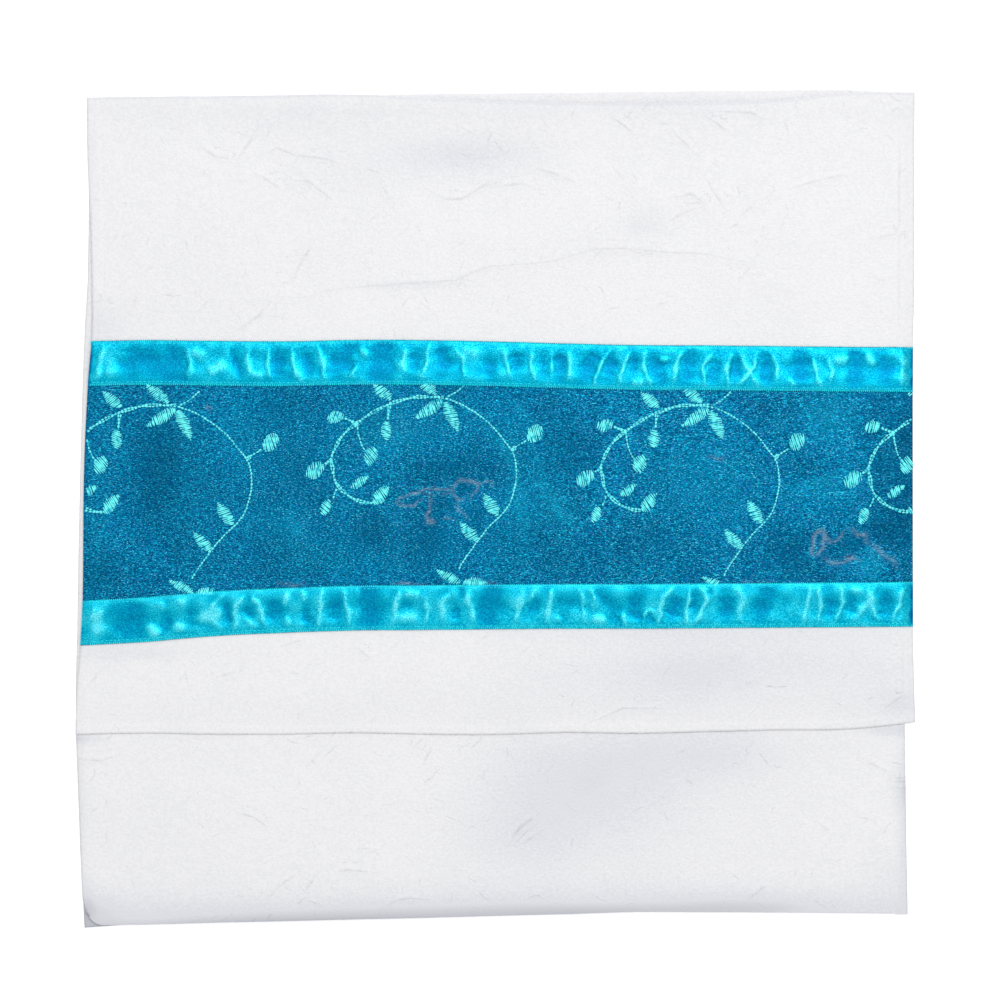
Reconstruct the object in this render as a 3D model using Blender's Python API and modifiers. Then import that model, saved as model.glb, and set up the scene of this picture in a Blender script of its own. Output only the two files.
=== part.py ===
"""Tallit prayer shawl, zigzag-folded in four layers and lying flat, with an embroidered band
across its top layer between two satin ribbons.

Standalone Blender 4.5 script. Tables and constants are in millimetres, meshes are made in metres.
X runs across the shawl, Y from the front fold to the back fold, Z up. The origin is under the
middle of the folded shawl, on the surface that it lies on.
"""

from bisect import bisect_right
from collections import namedtuple
from math import cos, exp, hypot, pi, radians, sin, sqrt

import bmesh
import bpy

MM = 0.001
HALF_WIDTH = 235.0

# A side edge's X depends on Y and a line's Y on X, so a point is settled between them in turns
SETTLING = 3

# Cloth walls and the gap between pieces that are sewn or laid on each other
GAP = 0.3
PANEL_WALL = 1.5
BAND_WALL = 1.0
RIBBON_WALL = 1.0

# Hidden layers: each takes up this height, air included
LAYER = 1.9
HIDDEN_LAYERS = 3
LEDGE = (HIDDEN_LAYERS - 1) * LAYER
FRONT_ROLL = 14.0
SIDE_ROLL = 6.0
SIDE_ROLL_DEPTH = 0.8
OVERHANG_SLOPE = 2 * SIDE_ROLL_DEPTH / SIDE_ROLL
CORNER_X, CORNER_Y = 11.0, 17.0

# Turn of the top panel round the back fold, and the short return under it
TURN_RADIUS = 2.2
TURN_STEPS = 6
RETURN = 6.0
BACK_RISE = 32.0
TURN_TOP = LEDGE + GAP + 2 * TURN_RADIUS

# Hems of the top panel
SIDE_HEM = 6.5
FRONT_HEM = 4.0
HEM_RISE = 0.35
HEM_RAMP = 1.2
CREASE_WIDTH = 4.5
CREASE_FLANK = 7.0

# Ribbons: a 1 in satin ribbon whose inner edge covers the band's raw edge
RIBBON_WIDTH = 25.4
SEAM_OVERLAP = 6.0
RIBBON_RAMP = 3.0
RIBBON_SELVEDGE = 1.2
RIBBON_RISE = GAP + RIBBON_WALL
BAND_RISE = GAP + BAND_WALL
END_ANGLES = (0, 30, 60, 90)
END_INSETS = (2.5, SIDE_HEM - 0.5, SIDE_HEM + HEM_RAMP)

# Lines that run across the shawl, as Y at each X. The ribbons are given by their centre lines.
Across = namedtuple(
    "Across",
    "x stack_end stack_front hem lower_ribbon upper_ribbon crease crease_height fold stack_back",
)
ACROSS = (
    Across(-239, -238.9, -236.8, -128.4, -65.2, 82.1, 118.0, 0.0, 233.6, 232.0),
    Across(-200, -236.2, -236.5, -127.6, -63.1, 82.9, 119.0, 0.0, 234.1, 232.5),
    Across(-160, -234.2, -235.4, -128.2, -59.7, 82.5, 120.0, 0.1, 234.5, 233.0),
    Across(-120, -233.0, -234.5, -128.2, -57.8, 82.2, 121.3, 0.6, 235.0, 233.5),
    Across(-80, -232.0, -233.5, -127.4, -56.5, 83.0, 127.3, 0.7, 235.4, 234.6),
    Across(-40, -231.0, -232.6, -128.2, -56.2, 82.9, 128.8, 0.6, 233.5, 235.8),
    Across(0, -230.0, -231.5, -128.4, -55.8, 82.1, 139.0, 0.8, 231.5, 236.2),
    Across(40, -229.0, -230.5, -127.2, -55.5, 81.0, 143.5, 0.8, 230.5, 236.6),
    Across(80, -228.0, -229.3, -127.7, -55.5, 80.1, 148.2, 0.7, 230.3, 237.1),
    Across(120, -228.0, -229.4, -126.7, -55.2, 79.9, 145.8, 0.5, 230.8, 237.5),
    Across(160, -228.2, -229.6, -125.8, -54.9, 79.5, 139.8, 0.2, 232.0, 237.9),
    Across(200, -228.6, -230.0, -125.3, -54.6, 79.1, 139.0, 0.0, 236.0, 238.0),
    Across(239, -229.0, -230.4, -121.5, -54.3, 78.9, 138.0, 0.0, 238.6, 236.0),
)

# Side edges, as X at each Y
Side = namedtuple("Side", "y stack_left stack_right panel_left panel_right")
SIDES = (
    Side(-240, -233.8, 234.6, -238.7, 238.7),
    Side(-200, -235.7, 233.7, -238.7, 238.7),
    Side(-160, -237.2, 233.1, -238.7, 238.7),
    Side(-125, -238.5, 232.6, -238.6, 238.7),
    Side(-105, -238.7, 232.6, -238.0, 238.1),
    Side(-80, -237.8, 232.8, -236.0, 237.4),
    Side(-50, -237.4, 233.0, -234.4, 237.2),
    Side(20, -236.0, 233.0, -233.7, 237.1),
    Side(70, -234.6, 233.0, -231.5, 237.1),
    Side(96, -233.8, 233.0, -229.4, 237.3),
    Side(120, -232.0, 233.0, -229.2, 237.9),
    Side(160, -231.2, 233.0, -230.0, 238.0),
    Side(200, -230.9, 233.0, -231.8, 238.0),
    Side(240, -230.5, 233.0, -232.0, 238.0),
)

# Broad rises and hollows in how the cloth lies
Swell = namedtuple("Swell", "x y reach_x reach_y height")
SWELLS = (
    Swell(70, -160, 85, 50, -0.8),
    Swell(-150, -180, 80, 45, 0.5),
    Swell(190, -190, 45, 40, 0.4),
    Swell(-100, -95, 100, 26, 0.5),
    Swell(-60, 15, 80, 45, 0.6),
    Swell(120, 5, 70, 45, -0.4),
    Swell(0, 196, 70, 26, -0.6),
    Swell(-150, 180, 60, 40, 0.5),
    Swell(130, 185, 60, 35, 0.4),
)

# Section round the hidden layers' edge, top to bottom. Each level stands at its height z, plus a
# share of what the top layer adds to that. Side, front and back say how far out from its line it
# lies: a bull nose at the front joins the upper two layers, and one at the back the lower two.
Level = namedtuple("Level", "share z side front_line front back_line back rounded")
EDGE_LEVELS = (
    Level(1.00, LEDGE, -0.8, "stack_front", -0.4, "return_end", -0.8, True),
    Level(0.70, LEDGE, -0.3, "stack_front", -0.1, "return_end", -0.3, True),
    Level(0.30, LEDGE, 0.0, "stack_front", 0.0, "return_end", -0.3, True),
    Level(0.00, LEDGE, -0.9, "stack_front", 0.0, "return_end", -0.3, True),
    Level(0.00, LEDGE - 0.1, -0.9, "stack_front", 0.0, "stack_back", -1.2, True),
    Level(0.00, LEDGE - 0.6, 0.0, "stack_front", -0.2, "stack_back", -0.4, True),
    Level(0.00, LAYER + 0.5, 0.0, "stack_front", -0.9, "stack_back", 0.0, True),
    Level(0.00, LAYER, -0.9, "stack_front", -3.0, "stack_back", 0.0, True),
    Level(0.00, LAYER - 0.1, -0.9, "stack_end", -1.0, "stack_back", 0.0, False),
    Level(0.00, LAYER - 0.5, 0.0, "stack_end", 0.0, "stack_back", -0.1, False),
    Level(0.00, 0.5, 0.0, "stack_end", 0.0, "stack_back", -0.5, False),
    Level(0.00, 0.0, -0.5, "stack_end", -0.5, "stack_back", -1.4, False),
)

# Where the hidden layers' rows and columns of points lie, in from each edge
STACK_FRONT_ROWS = (0, 2.5, 5.5, 9.5, 14, 19, 30, 45, 60, 75, 90, 105)
STACK_BACK_ROWS = (6, 0)
STACK_MIDDLE_ROWS = 8
STACK_LEFT_COLUMNS = (0, 3.5, 7.5, 12)
STACK_RIGHT_COLUMNS = (12, 5, 0)
STACK_MIDDLE_COLUMNS = 17

# Rows of points up the top panel: each lies off a line of ACROSS, in steps from the one before
Row = namedtuple("Row", "line offset steps")
PANEL_ROWS = (
    Row("hem", 1.0, 1),
    Row("hem", FRONT_HEM, 1),
    Row("hem", FRONT_HEM + HEM_RAMP, 1),
    Row("lower_ribbon", -RIBBON_WIDTH / 2, 3),
    Row("lower_ribbon", RIBBON_WIDTH / 2, 2),
    Row("upper_ribbon", -RIBBON_WIDTH / 2, 5),
    Row("upper_ribbon", RIBBON_WIDTH / 2, 2),
    Row("crease", -CREASE_FLANK, 2),
    Row("crease", 0.0, 1),
    Row("crease", CREASE_FLANK, 1),
    Row("fold", -BACK_RISE, 3),
    Row("fold", -TURN_RADIUS, 3),
)
PANEL_MIDDLE_COLUMNS = 21
BAND_MIDDLE_COLUMNS = 21
BAND_STEPS = 7

# Gathers along each ribbon, evenly spaced within a stretch
Gather = namedtuple("Gather", "start end count height")
UPPER_GATHERS = (
    Gather(-222, -180, 2, 0.6),
    Gather(-180, -120, 4, 1.1),
    Gather(-120, -60, 3, 0.9),
    Gather(-60, 0, 3, 1.0),
    Gather(0, 60, 5, 1.2),
    Gather(60, 150, 6, 1.2),
    Gather(150, 228, 4, 0.9),
)
LOWER_GATHERS = (
    Gather(-225, -170, 3, 0.6),
    Gather(-170, -110, 4, 1.0),
    Gather(-110, -30, 4, 1.1),
    Gather(-30, 40, 3, 0.9),
    Gather(40, 130, 7, 1.2),
    Gather(130, 228, 6, 1.1),
)

# Material colours: red, green, blue and roughness
WHITE_SATIN = (0.86, 0.86, 0.88, 0.45)
SHADED_SATIN = (0.80, 0.80, 0.84, 0.50)
TEAL_ORGANZA = (0.01, 0.17, 0.27, 0.40)
TURQUOISE_SATIN = (0.0, 0.56, 0.74, 0.25)


def along(table, column, at):
    """The named column at a place between the table's rows, on a smooth curve through them."""
    keys = [row[0] for row in table]
    values = [getattr(row, column) for row in table]
    at = min(max(at, keys[0]), keys[-1])
    high = min(bisect_right(keys, at), len(keys) - 1)
    low = high - 1
    span = keys[high] - keys[low]
    t = (at - keys[low]) / span

    def slope(index):
        before, after = max(index - 1, 0), min(index + 1, len(keys) - 1)
        return (values[after] - values[before]) / (keys[after] - keys[before]) * span

    return (
        (2 * t**3 - 3 * t**2 + 1) * values[low]
        + (t**3 - 2 * t**2 + t) * slope(low)
        + (3 * t**2 - 2 * t**3) * values[high]
        + (t**3 - t**2) * slope(high)
    )


def line_y(line, x):
    """Y of a line that runs across, at this X."""
    if line == "return_end":
        return line_y("fold", x) - TURN_RADIUS - RETURN
    return along(ACROSS, line, x)


def edge_x(edge, y):
    """X of a side edge, at this Y."""
    return along(SIDES, edge, y)


def smooth(t):
    """0 below 0, 1 above 1, and a soft step between."""
    t = min(max(t, 0.0), 1.0)
    return t * t * (3 - 2 * t)


def stack_height(x, y):
    """Top of the hidden layers, which drops towards both sides."""
    height = HIDDEN_LAYERS * LAYER
    for swell in SWELLS:
        out = hypot((x - swell.x) / swell.reach_x, (y - swell.y) / swell.reach_y)
        height += swell.height * exp(-out * out)
    inside = min(x - edge_x("stack_left", y), edge_x("stack_right", y) - x)
    near = 1 - min(max(inside, 0.0), SIDE_ROLL) / SIDE_ROLL
    return height - SIDE_ROLL_DEPTH * near**2 - OVERHANG_SLOPE * max(-inside, 0.0)


def rolled_height(x, y):
    """Top of the hidden layers with the roll down into their front fold."""
    inside = min(max(y - line_y("stack_front", x), 0.0), FRONT_ROLL)
    rise = sqrt(1 - (1 - inside / FRONT_ROLL) ** 2)
    return LEDGE + (stack_height(x, y) - LEDGE) * rise


def panel_height(x, y):
    """Outer face of the top panel: hems and the long crease stand up from the hidden layers."""
    height = stack_height(x, y) + GAP + PANEL_WALL
    inside = min(x - edge_x("panel_left", y), edge_x("panel_right", y) - x)
    from_hem = y - line_y("hem", x)
    height += HEM_RISE * smooth((SIDE_HEM + HEM_RAMP - inside) / HEM_RAMP)
    height += HEM_RISE * smooth((FRONT_HEM + HEM_RAMP - from_hem) / HEM_RAMP)
    off_crease = (y - line_y("crease", x)) / CREASE_WIDTH
    height += line_y("crease_height", x) * exp(-off_crease * off_crease)
    from_turn = line_y("fold", x) - TURN_RADIUS - y
    rise = smooth(1 - from_turn / (BACK_RISE - TURN_RADIUS))
    return height + (TURN_TOP - height) * rise


def placed_grid(columns, rows, place):
    """A grid of vertices, each put where place(column, row) says. Its column and row stay on it."""
    bm = bmesh.new()
    bmesh.ops.create_grid(bm, x_segments=columns - 1, y_segments=rows - 1, size=1.0)
    column_of = bm.verts.layers.int.new("column")
    row_of = bm.verts.layers.int.new("row")
    for vert in bm.verts:
        vert[column_of] = round((vert.co.x + 1) / 2 * (columns - 1))
        vert[row_of] = round((vert.co.y + 1) / 2 * (rows - 1))
        vert.co = place(vert[column_of], vert[row_of])
    return bm


def spread(near_low, middle, near_high):
    """Stations from 0 to 1 as (share, offset): some in from each end, and even ones between."""
    low = [(0.0, float(inset)) for inset in near_low]
    even = [(step / (middle + 1), 0.0) for step in range(1, middle + 1)]
    high = [(1.0, -float(inset)) for inset in near_high]
    return low + even + high


def make_material(name, finish):
    material = bpy.data.materials.new(name)
    material.use_nodes = True
    shader = material.node_tree.nodes["Principled BSDF"]
    shader.inputs["Base Color"].default_value = (*finish[:3], 1.0)
    shader.inputs["Roughness"].default_value = finish[3]
    shader.inputs["Metallic"].default_value = 0.0
    return material


def add_piece(name, bm, finish, collection, wall=0.0):
    """Turns the millimetre bmesh into an object in metres, given a wall inwards if it is a sheet."""
    bmesh.ops.scale(bm, vec=(MM, MM, MM), verts=bm.verts)
    mesh = bpy.data.meshes.new(name)
    bm.to_mesh(mesh)
    bm.free()
    mesh.shade_smooth()
    mesh.materials.append(make_material(name, finish))
    piece = bpy.data.objects.new(name, mesh)
    collection.objects.link(piece)
    if wall:
        thickness = piece.modifiers.new("wall", "SOLIDIFY")
        thickness.thickness = wall * MM
        thickness.offset = -1
    return piece


def rounded_corner(x, y, left, front):
    """Pulls a point near the front left corner onto the ellipse that the corner is rounded with."""
    from_x = 1 - (x - left) / CORNER_X
    from_y = 1 - (y - front) / CORNER_Y
    if from_x <= 0 or from_y <= 0:
        return x, y
    pull = max(from_x, from_y) / hypot(from_x, from_y)
    return left + CORNER_X * (1 - from_x * pull), front + CORNER_Y * (1 - from_y * pull)


def make_folded_layers(collection):
    """The three hidden layers as one solid with a flat underside, layered at its edges."""
    columns = spread(STACK_LEFT_COLUMNS, STACK_MIDDLE_COLUMNS, STACK_RIGHT_COLUMNS)
    rows = spread(STACK_FRONT_ROWS, STACK_MIDDLE_ROWS, STACK_BACK_ROWS)
    middle_front = STACK_FRONT_ROWS[-1]

    def place(column, row, level):
        share, offset = columns[column]
        row_share, row_offset = rows[row]
        x = (2 * share - 1) * HALF_WIDTH + offset
        for _ in range(SETTLING):
            front = line_y(level.front_line, x) - level.front
            back = line_y(level.back_line, x) + level.back
            start = front + middle_front if 0 < row_share < 1 else front
            y = start + row_share * (back - start) + row_offset
            left = edge_x("stack_left", y) - level.side
            right = edge_x("stack_right", y) + level.side
            x = left + share * (right - left) + offset
        z = level.z + level.share * (rolled_height(x, y) - LEDGE)
        if level.rounded:
            x, y = rounded_corner(x, y, left, front)
        return x, y, z

    bm = placed_grid(len(columns), len(rows), lambda column, row: place(column, row, EDGE_LEVELS[0]))
    column_of = bm.verts.layers.int["column"]
    row_of = bm.verts.layers.int["row"]
    rim = [edge for edge in bm.edges if edge.is_boundary]
    for level in EDGE_LEVELS[1:]:
        grown = bmesh.ops.extrude_edge_only(bm, edges=rim)["geom"]
        for vert in grown:
            if isinstance(vert, bmesh.types.BMVert):
                vert.co = place(vert[column_of], vert[row_of], level)
        rim = [edge for edge in grown if isinstance(edge, bmesh.types.BMEdge) and edge.is_boundary]
    bmesh.ops.contextual_create(bm, geom=rim)
    bmesh.ops.recalc_face_normals(bm, faces=bm.faces)
    return add_piece("folded_layers", bm, SHADED_SATIN, collection)


def panel_rows():
    """Rows up the top panel as functions of X that give Y, from its hem to the start of the turn."""
    rows = [lambda x: line_y("hem", x)]
    before = Row("hem", 0.0, 0)
    for row in PANEL_ROWS:
        for step in range(1, row.steps + 1):
            share = step / row.steps
            rows.append(
                lambda x, low=before, high=row, share=share: (
                    (line_y(low.line, x) + low.offset) * (1 - share)
                    + (line_y(high.line, x) + high.offset) * share
                )
            )
        before = row
    return rows


def make_top_panel(collection):
    """The top stretch of the cloth, from its hem up over the hidden layers and round the back fold."""
    columns = spread((0, *END_INSETS), PANEL_MIDDLE_COLUMNS, (*END_INSETS[::-1], 0))
    rows = panel_rows()
    turn = [radians(90 - 180 * step / TURN_STEPS) for step in range(1, TURN_STEPS + 1)]

    def column_x(column, y):
        share, offset = columns[column]
        left, right = edge_x("panel_left", y), edge_x("panel_right", y)
        return left + share * (right - left) + offset

    def place(column, row):
        across = rows[min(row, len(rows) - 1)]
        x = column_x(column, 0.0)
        for _ in range(SETTLING):
            y = across(x)
            x = column_x(column, y)
        if row < len(rows):
            return x, y, panel_height(x, y)
        fold = y + TURN_RADIUS
        if row < len(rows) + len(turn):
            angle = turn[row - len(rows)]
            out, up = TURN_RADIUS * cos(angle), TURN_RADIUS * sin(angle)
            return x, fold - TURN_RADIUS + out, LEDGE + GAP + TURN_RADIUS + up
        return x, fold - TURN_RADIUS - RETURN, LEDGE + GAP

    bm = placed_grid(len(columns), len(rows) + len(turn) + 1, place)
    return add_piece("top_panel", bm, WHITE_SATIN, collection, PANEL_WALL)


def make_band(collection):
    """The organza band, laid on the panel with both long edges under the ribbons."""
    columns = spread((GAP, *END_INSETS), BAND_MIDDLE_COLUMNS, (*END_INSETS[::-1], GAP))
    reach = RIBBON_WIDTH / 2 - SEAM_OVERLAP

    def place(column, row):
        share, offset = columns[column]
        x = (2 * share - 1) * HALF_WIDTH + offset
        for _ in range(SETTLING):
            low = line_y("lower_ribbon", x) + reach
            high = line_y("upper_ribbon", x) - reach
            y = low + (high - low) * row / BAND_STEPS
            left, right = edge_x("panel_left", y), edge_x("panel_right", y)
            x = left + share * (right - left) + offset
        return x, y, panel_height(x, y) + BAND_RISE

    bm = placed_grid(len(columns), BAND_STEPS + 1, place)
    return add_piece("embroidered_band", bm, TEAL_ORGANZA, collection, BAND_WALL)


def gather_columns(gathers):
    """(X, height) of each gather's crest and of the hollows between them."""
    columns = []
    for gather in gathers:
        pitch = (gather.end - gather.start) / gather.count
        for step in range(gather.count):
            columns.append((gather.start + step * pitch, 0.0))
            columns.append((gather.start + (step + 0.5) * pitch, gather.height))
    columns.append((gathers[-1].end, 0.0))
    return columns


def make_ribbon(name, line, gathers, inner, collection):
    """A ribbon along a line of ACROSS. inner is 1 where the band lies on its +Y side, or -1."""
    crests = gather_columns(gathers)
    inner_edge = RIBBON_WIDTH / 2
    ramp_end = inner_edge - SEAM_OVERLAP - GAP
    rows = (
        (-inner_edge, 0.0),
        (-inner_edge + RIBBON_SELVEDGE, 0.0),
        (-inner_edge / 3, 0.0),
        (ramp_end - RIBBON_RAMP, 0.0),
        (ramp_end, BAND_RISE),
        (inner_edge - RIBBON_SELVEDGE, BAND_RISE),
        (inner_edge, BAND_RISE),
    )[::inner]
    ends = len(END_ANGLES) + 1

    def over(x, y, row):
        return panel_height(x, y) + rows[row][1]

    def end_point(sign, step, row):
        """A point of the end that turns down over the panel's side, from its lowest one inwards."""
        edge = "panel_left" if sign < 0 else "panel_right"
        y = line_y(line, sign * HALF_WIDTH) + inner * rows[row][0]
        side = edge_x(edge, y)
        if step == 0:
            return side + sign * RIBBON_RISE, y, panel_height(side, y) - PANEL_WALL
        angle = radians(END_ANGLES[step - 1])
        out, up = RIBBON_RISE * cos(angle), RIBBON_RISE * sin(angle)
        return side + sign * out, y, over(side, y, row) + up

    def flat_point(x, height, row):
        y = line_y(line, x) + inner * rows[row][0]
        crest = height * sin(pi * (0.5 + rows[row][0] / RIBBON_WIDTH))
        return x, y, over(x, y, row) + RIBBON_RISE + crest

    def inset_point(sign, inset, row):
        y = line_y(line, sign * HALF_WIDTH) + inner * rows[row][0]
        side = edge_x("panel_left" if sign < 0 else "panel_right", y)
        return flat_point(side - sign * inset, 0.0, row)

    columns = [lambda row, step=step: end_point(-1, step, row) for step in range(ends)]
    columns += [lambda row, inset=inset: inset_point(-1, inset, row) for inset in END_INSETS]
    columns += [lambda row, crest=crest: flat_point(*crest, row) for crest in crests]
    columns += [lambda row, inset=inset: inset_point(1, inset, row) for inset in END_INSETS[::-1]]
    columns += [lambda row, step=step: end_point(1, step, row) for step in reversed(range(ends))]

    bm = placed_grid(len(columns), len(rows), lambda column, row: columns[column](row))
    return add_piece(name, bm, TURQUOISE_SATIN, collection, RIBBON_WALL)


def main():
    for old in list(bpy.data.objects):
        bpy.data.objects.remove(old, do_unlink=True)
    collection = bpy.data.collections.new("Folded tallit prayer shawl")
    bpy.context.scene.collection.children.link(collection)
    make_folded_layers(collection)
    make_top_panel(collection)
    make_band(collection)
    make_ribbon("ribbon_upper", "upper_ribbon", UPPER_GATHERS, -1, collection)
    make_ribbon("ribbon_lower", "lower_ribbon", LOWER_GATHERS, 1, collection)


main()
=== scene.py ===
"""Looks of the folded tallit prayer shawl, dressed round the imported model.

Tables are in millimetres and settings in metres. X runs across the shawl, Y from the front fold to
the back fold, Z up, with the origin under the middle of the shawl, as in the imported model.
"""

from collections import namedtuple
from math import cos, pi, sin

import bmesh
import bpy
import numpy as np
from bpy.props import FloatProperty, FloatVectorProperty, IntProperty, PointerProperty
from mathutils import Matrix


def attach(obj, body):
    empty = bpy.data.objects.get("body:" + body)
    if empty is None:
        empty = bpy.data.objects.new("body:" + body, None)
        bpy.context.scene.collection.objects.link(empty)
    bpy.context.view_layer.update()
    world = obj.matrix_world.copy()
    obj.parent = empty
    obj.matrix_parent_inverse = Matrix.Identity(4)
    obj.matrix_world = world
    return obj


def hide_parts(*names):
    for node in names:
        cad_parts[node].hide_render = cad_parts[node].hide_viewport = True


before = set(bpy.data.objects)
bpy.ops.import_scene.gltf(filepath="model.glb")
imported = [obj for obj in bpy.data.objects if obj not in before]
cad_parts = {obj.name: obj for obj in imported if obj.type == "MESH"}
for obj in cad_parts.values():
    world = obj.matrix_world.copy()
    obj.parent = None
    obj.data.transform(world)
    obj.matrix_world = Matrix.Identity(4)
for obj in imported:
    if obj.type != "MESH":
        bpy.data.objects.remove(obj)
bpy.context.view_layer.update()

bl_info = {
    "name": "Folded Prayer Shawl",
    "version": (1, 0, 0),
    "blender": (4, 5, 0),
    "location": "View3D > Sidebar > Shawl",
    "description": "Cloth, ribbons and embroidery of a tallit prayer shawl that lies folded",
    "category": "Add Mesh",
}

MM = 0.001
HALF_WIDTH = 235.0
SETTLING = 3

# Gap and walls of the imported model's solids, which place each cloth here
GAP = 0.3
PANEL_WALL = 1.5
LAYER = 1.9
HIDDEN_LAYERS = 3
LEDGE = (HIDDEN_LAYERS - 1) * LAYER
FRONT_ROLL = 14.0
SIDE_ROLL = 6.0
SIDE_ROLL_DEPTH = 0.8
OVERHANG_SLOPE = 2 * SIDE_ROLL_DEPTH / SIDE_ROLL
CORNER_X, CORNER_Y = 11.0, 17.0
TURN_RADIUS = 2.2
RETURN = 6.0
BACK_RISE = 32.0
TURN_TOP = LEDGE + GAP + 2 * TURN_RADIUS
SIDE_HEM = 6.5
FRONT_HEM = 4.0
HEM_RISE = 0.15
HEM_RAMP = 1.2
LONG_CREASE_WIDTH = 4.5
LONG_CREASE_SHARE = 0.25

# The free end of the top stretch settles onto the cloth under it
END_DROOP = 0.75
END_DROOP_REACH = 22.0

# The white cloth's relief takes this share of a charted crease's height. The material adds a line of
# bump and painted shade, SHARP_LINE to each side, along creases no wider than SHARP_WIDTH, at points
# within CREASE_REACH.
# A crease's height is uneven along it by this share, in a wave of so many radians.
CREASE_SHARE = 0.55
SHARP_WIDTH = 3.0
CREASE_REACH = 5.0
SHARP_LINE = 0.9
CREASE_UNEVENNESS = 0.25
CREASE_BEATS = 13

# Strewn crinkles, as ranges: pieces, length of a piece, height and width, and how much they bend
CRINKLE_PIECES = (2, 5)
CRINKLE_STEP = (3, 8)
CRINKLE_HEIGHT = (0.05, 0.14)
CRINKLE_WIDTH = (1.3, 2.2)
CRINKLE_BEND = 0.5

# How strongly the material draws its own crinkles, in bump and in painted shade
LAYERS_CRUSH, TOP_CRUSH = 0.42, 0.34

# Ripples of the white cloth, as height and length. Under the band and ribbons it lies smooth, in a
# ramp that begins SHOWN_REACH outside the ribbons.
BROAD_RIPPLE = (0.11, 34)
FINE_RIPPLE = (0.05, 13)
SHOWN_REACH = 2.0
SHOWN_RAMP = 5.0

# The hidden stretches: air under the lowest, rise of the second over its layer, ripples of both,
# bulge of their folded edges, and how much narrower the second is. The third one shows so deep
# from its front fold. Its creases fade towards its edges, and over EDGE_FADE up to SHOWN_BACK.
FLOOR_AIR = 0.3
SECOND_RISE = 0.45
FLOOR_RIPPLE, SECOND_RIPPLE, HIDDEN_REACH = 0.1, 0.12, 60
NOSE = 0.95
SECOND_NARROWING = 0.9975
SHOWN_DEPTH = 112
SHOWN_BACK = -118
EDGE_FADE, SIDE_FADE = 8, 5

# Rows of points in the top stretch's return under its back fold
RETURN_ROWS = 3

RIBBON_WIDTH = 25.4
SEAM_OVERLAP = 6.0

# How far the outer faces of the band and the ribbons stand off the cloth under them, the least
# that a pucker leaves of that, and how softly it stops there
BAND_LIFT = 0.5
RIBBON_LIFT = 0.75
RIBBON_REST = 0.5
REST_SOFTNESS = 0.15

# A ribbon rises by PUCKER_RISE, and comes down to its sewn edges over this share of its half width.
# It steps up over the band in a ramp, and presses the band down a little.
PUCKER_RISE = 0.3
EDGE_SHARE = 0.3
OVER_BAND_RAMP = 9.0
BAND_PRESS = 0.1

# Contrast of a ribbon's ridges and hollows, in their relief and in their painted highlights and shade,
# how dark a hollow has to be to grow darker still, into the painted shade of the turned ends, and the
# strewn unevenness of both, as strength and length
GLEAM_CONTRAST = 1.7
END_GLEAM = 1.2
GLEAM_RIPPLE = (0.12, 12)
GLEAM_WANDER = (0.5, 9)

# A ribbon's ends lie flat and turn down over the sides: length, radius, how far inside the sides
# the turn begins, and the steps in which the end then hangs down
FLAT_END = 5.0
END_TURN = 1.3
END_INSET = 1.2
END_STEP = 0.6

# Tones that stand for shade: the lowest layers' corner, and the back fold where it turns under
CORNER_TONE = 1.6
TURNED_TONE = 0.7
TURNED_FROM, TURNED_RAMP = 3.0, 2.6

# Lines that run across the shawl, as Y at each X. The ribbons are given by their centre lines.
Across = namedtuple(
    "Across",
    "x stack_end stack_front hem lower_ribbon upper_ribbon crease crease_height fold stack_back",
)
ACROSS = (
    Across(-239, -238.9, -236.8, -128.4, -65.2, 82.1, 118.0, 0.0, 233.6, 232.0),
    Across(-200, -236.2, -236.5, -127.6, -63.1, 82.9, 119.0, 0.0, 234.1, 232.5),
    Across(-160, -234.2, -235.4, -128.2, -59.7, 82.5, 120.0, 0.1, 234.5, 233.0),
    Across(-120, -233.0, -234.5, -128.2, -57.8, 82.2, 121.3, 0.6, 235.0, 233.5),
    Across(-80, -232.0, -233.5, -127.4, -56.5, 83.0, 127.3, 0.7, 235.4, 234.6),
    Across(-40, -231.0, -232.6, -128.2, -56.2, 82.9, 128.8, 0.6, 233.5, 235.8),
    Across(0, -230.0, -231.5, -128.4, -55.8, 82.1, 139.0, 0.8, 231.5, 236.2),
    Across(40, -229.0, -230.5, -127.2, -55.5, 81.0, 143.5, 0.8, 230.5, 236.6),
    Across(80, -228.0, -229.3, -127.7, -55.5, 80.1, 148.2, 0.7, 230.3, 237.1),
    Across(120, -228.0, -229.4, -126.7, -55.2, 79.9, 145.8, 0.5, 230.8, 237.5),
    Across(160, -228.2, -229.6, -125.8, -54.9, 79.5, 139.8, 0.2, 232.0, 237.9),
    Across(200, -228.6, -230.0, -125.3, -54.6, 79.1, 139.0, 0.0, 236.2, 238.0),
    Across(239, -229.0, -230.4, -121.5, -54.3, 78.9, 138.0, 0.0, 236.6, 236.0),
)

# Side edges, as X at each Y
Side = namedtuple("Side", "y stack_left stack_right panel_left panel_right")
SIDES = (
    Side(-240, -233.8, 234.6, -238.7, 238.7),
    Side(-200, -235.7, 233.7, -238.7, 238.7),
    Side(-160, -237.2, 233.1, -238.7, 238.7),
    Side(-125, -238.5, 232.6, -238.6, 238.7),
    Side(-105, -238.7, 232.6, -238.0, 238.1),
    Side(-80, -237.8, 232.8, -236.0, 237.4),
    Side(-50, -237.4, 233.0, -234.4, 237.2),
    Side(20, -236.0, 233.0, -233.7, 237.1),
    Side(70, -234.6, 233.0, -231.5, 237.1),
    Side(96, -233.8, 233.0, -229.4, 237.3),
    Side(120, -232.0, 233.0, -229.2, 237.9),
    Side(160, -231.2, 233.0, -230.0, 238.0),
    Side(200, -230.9, 233.0, -231.8, 238.0),
    Side(240, -230.5, 233.0, -232.0, 238.0),
)


def rows_of(kind, rows):
    """A table of named rows from plain ones."""
    return tuple(kind(*row) for row in rows)


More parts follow.
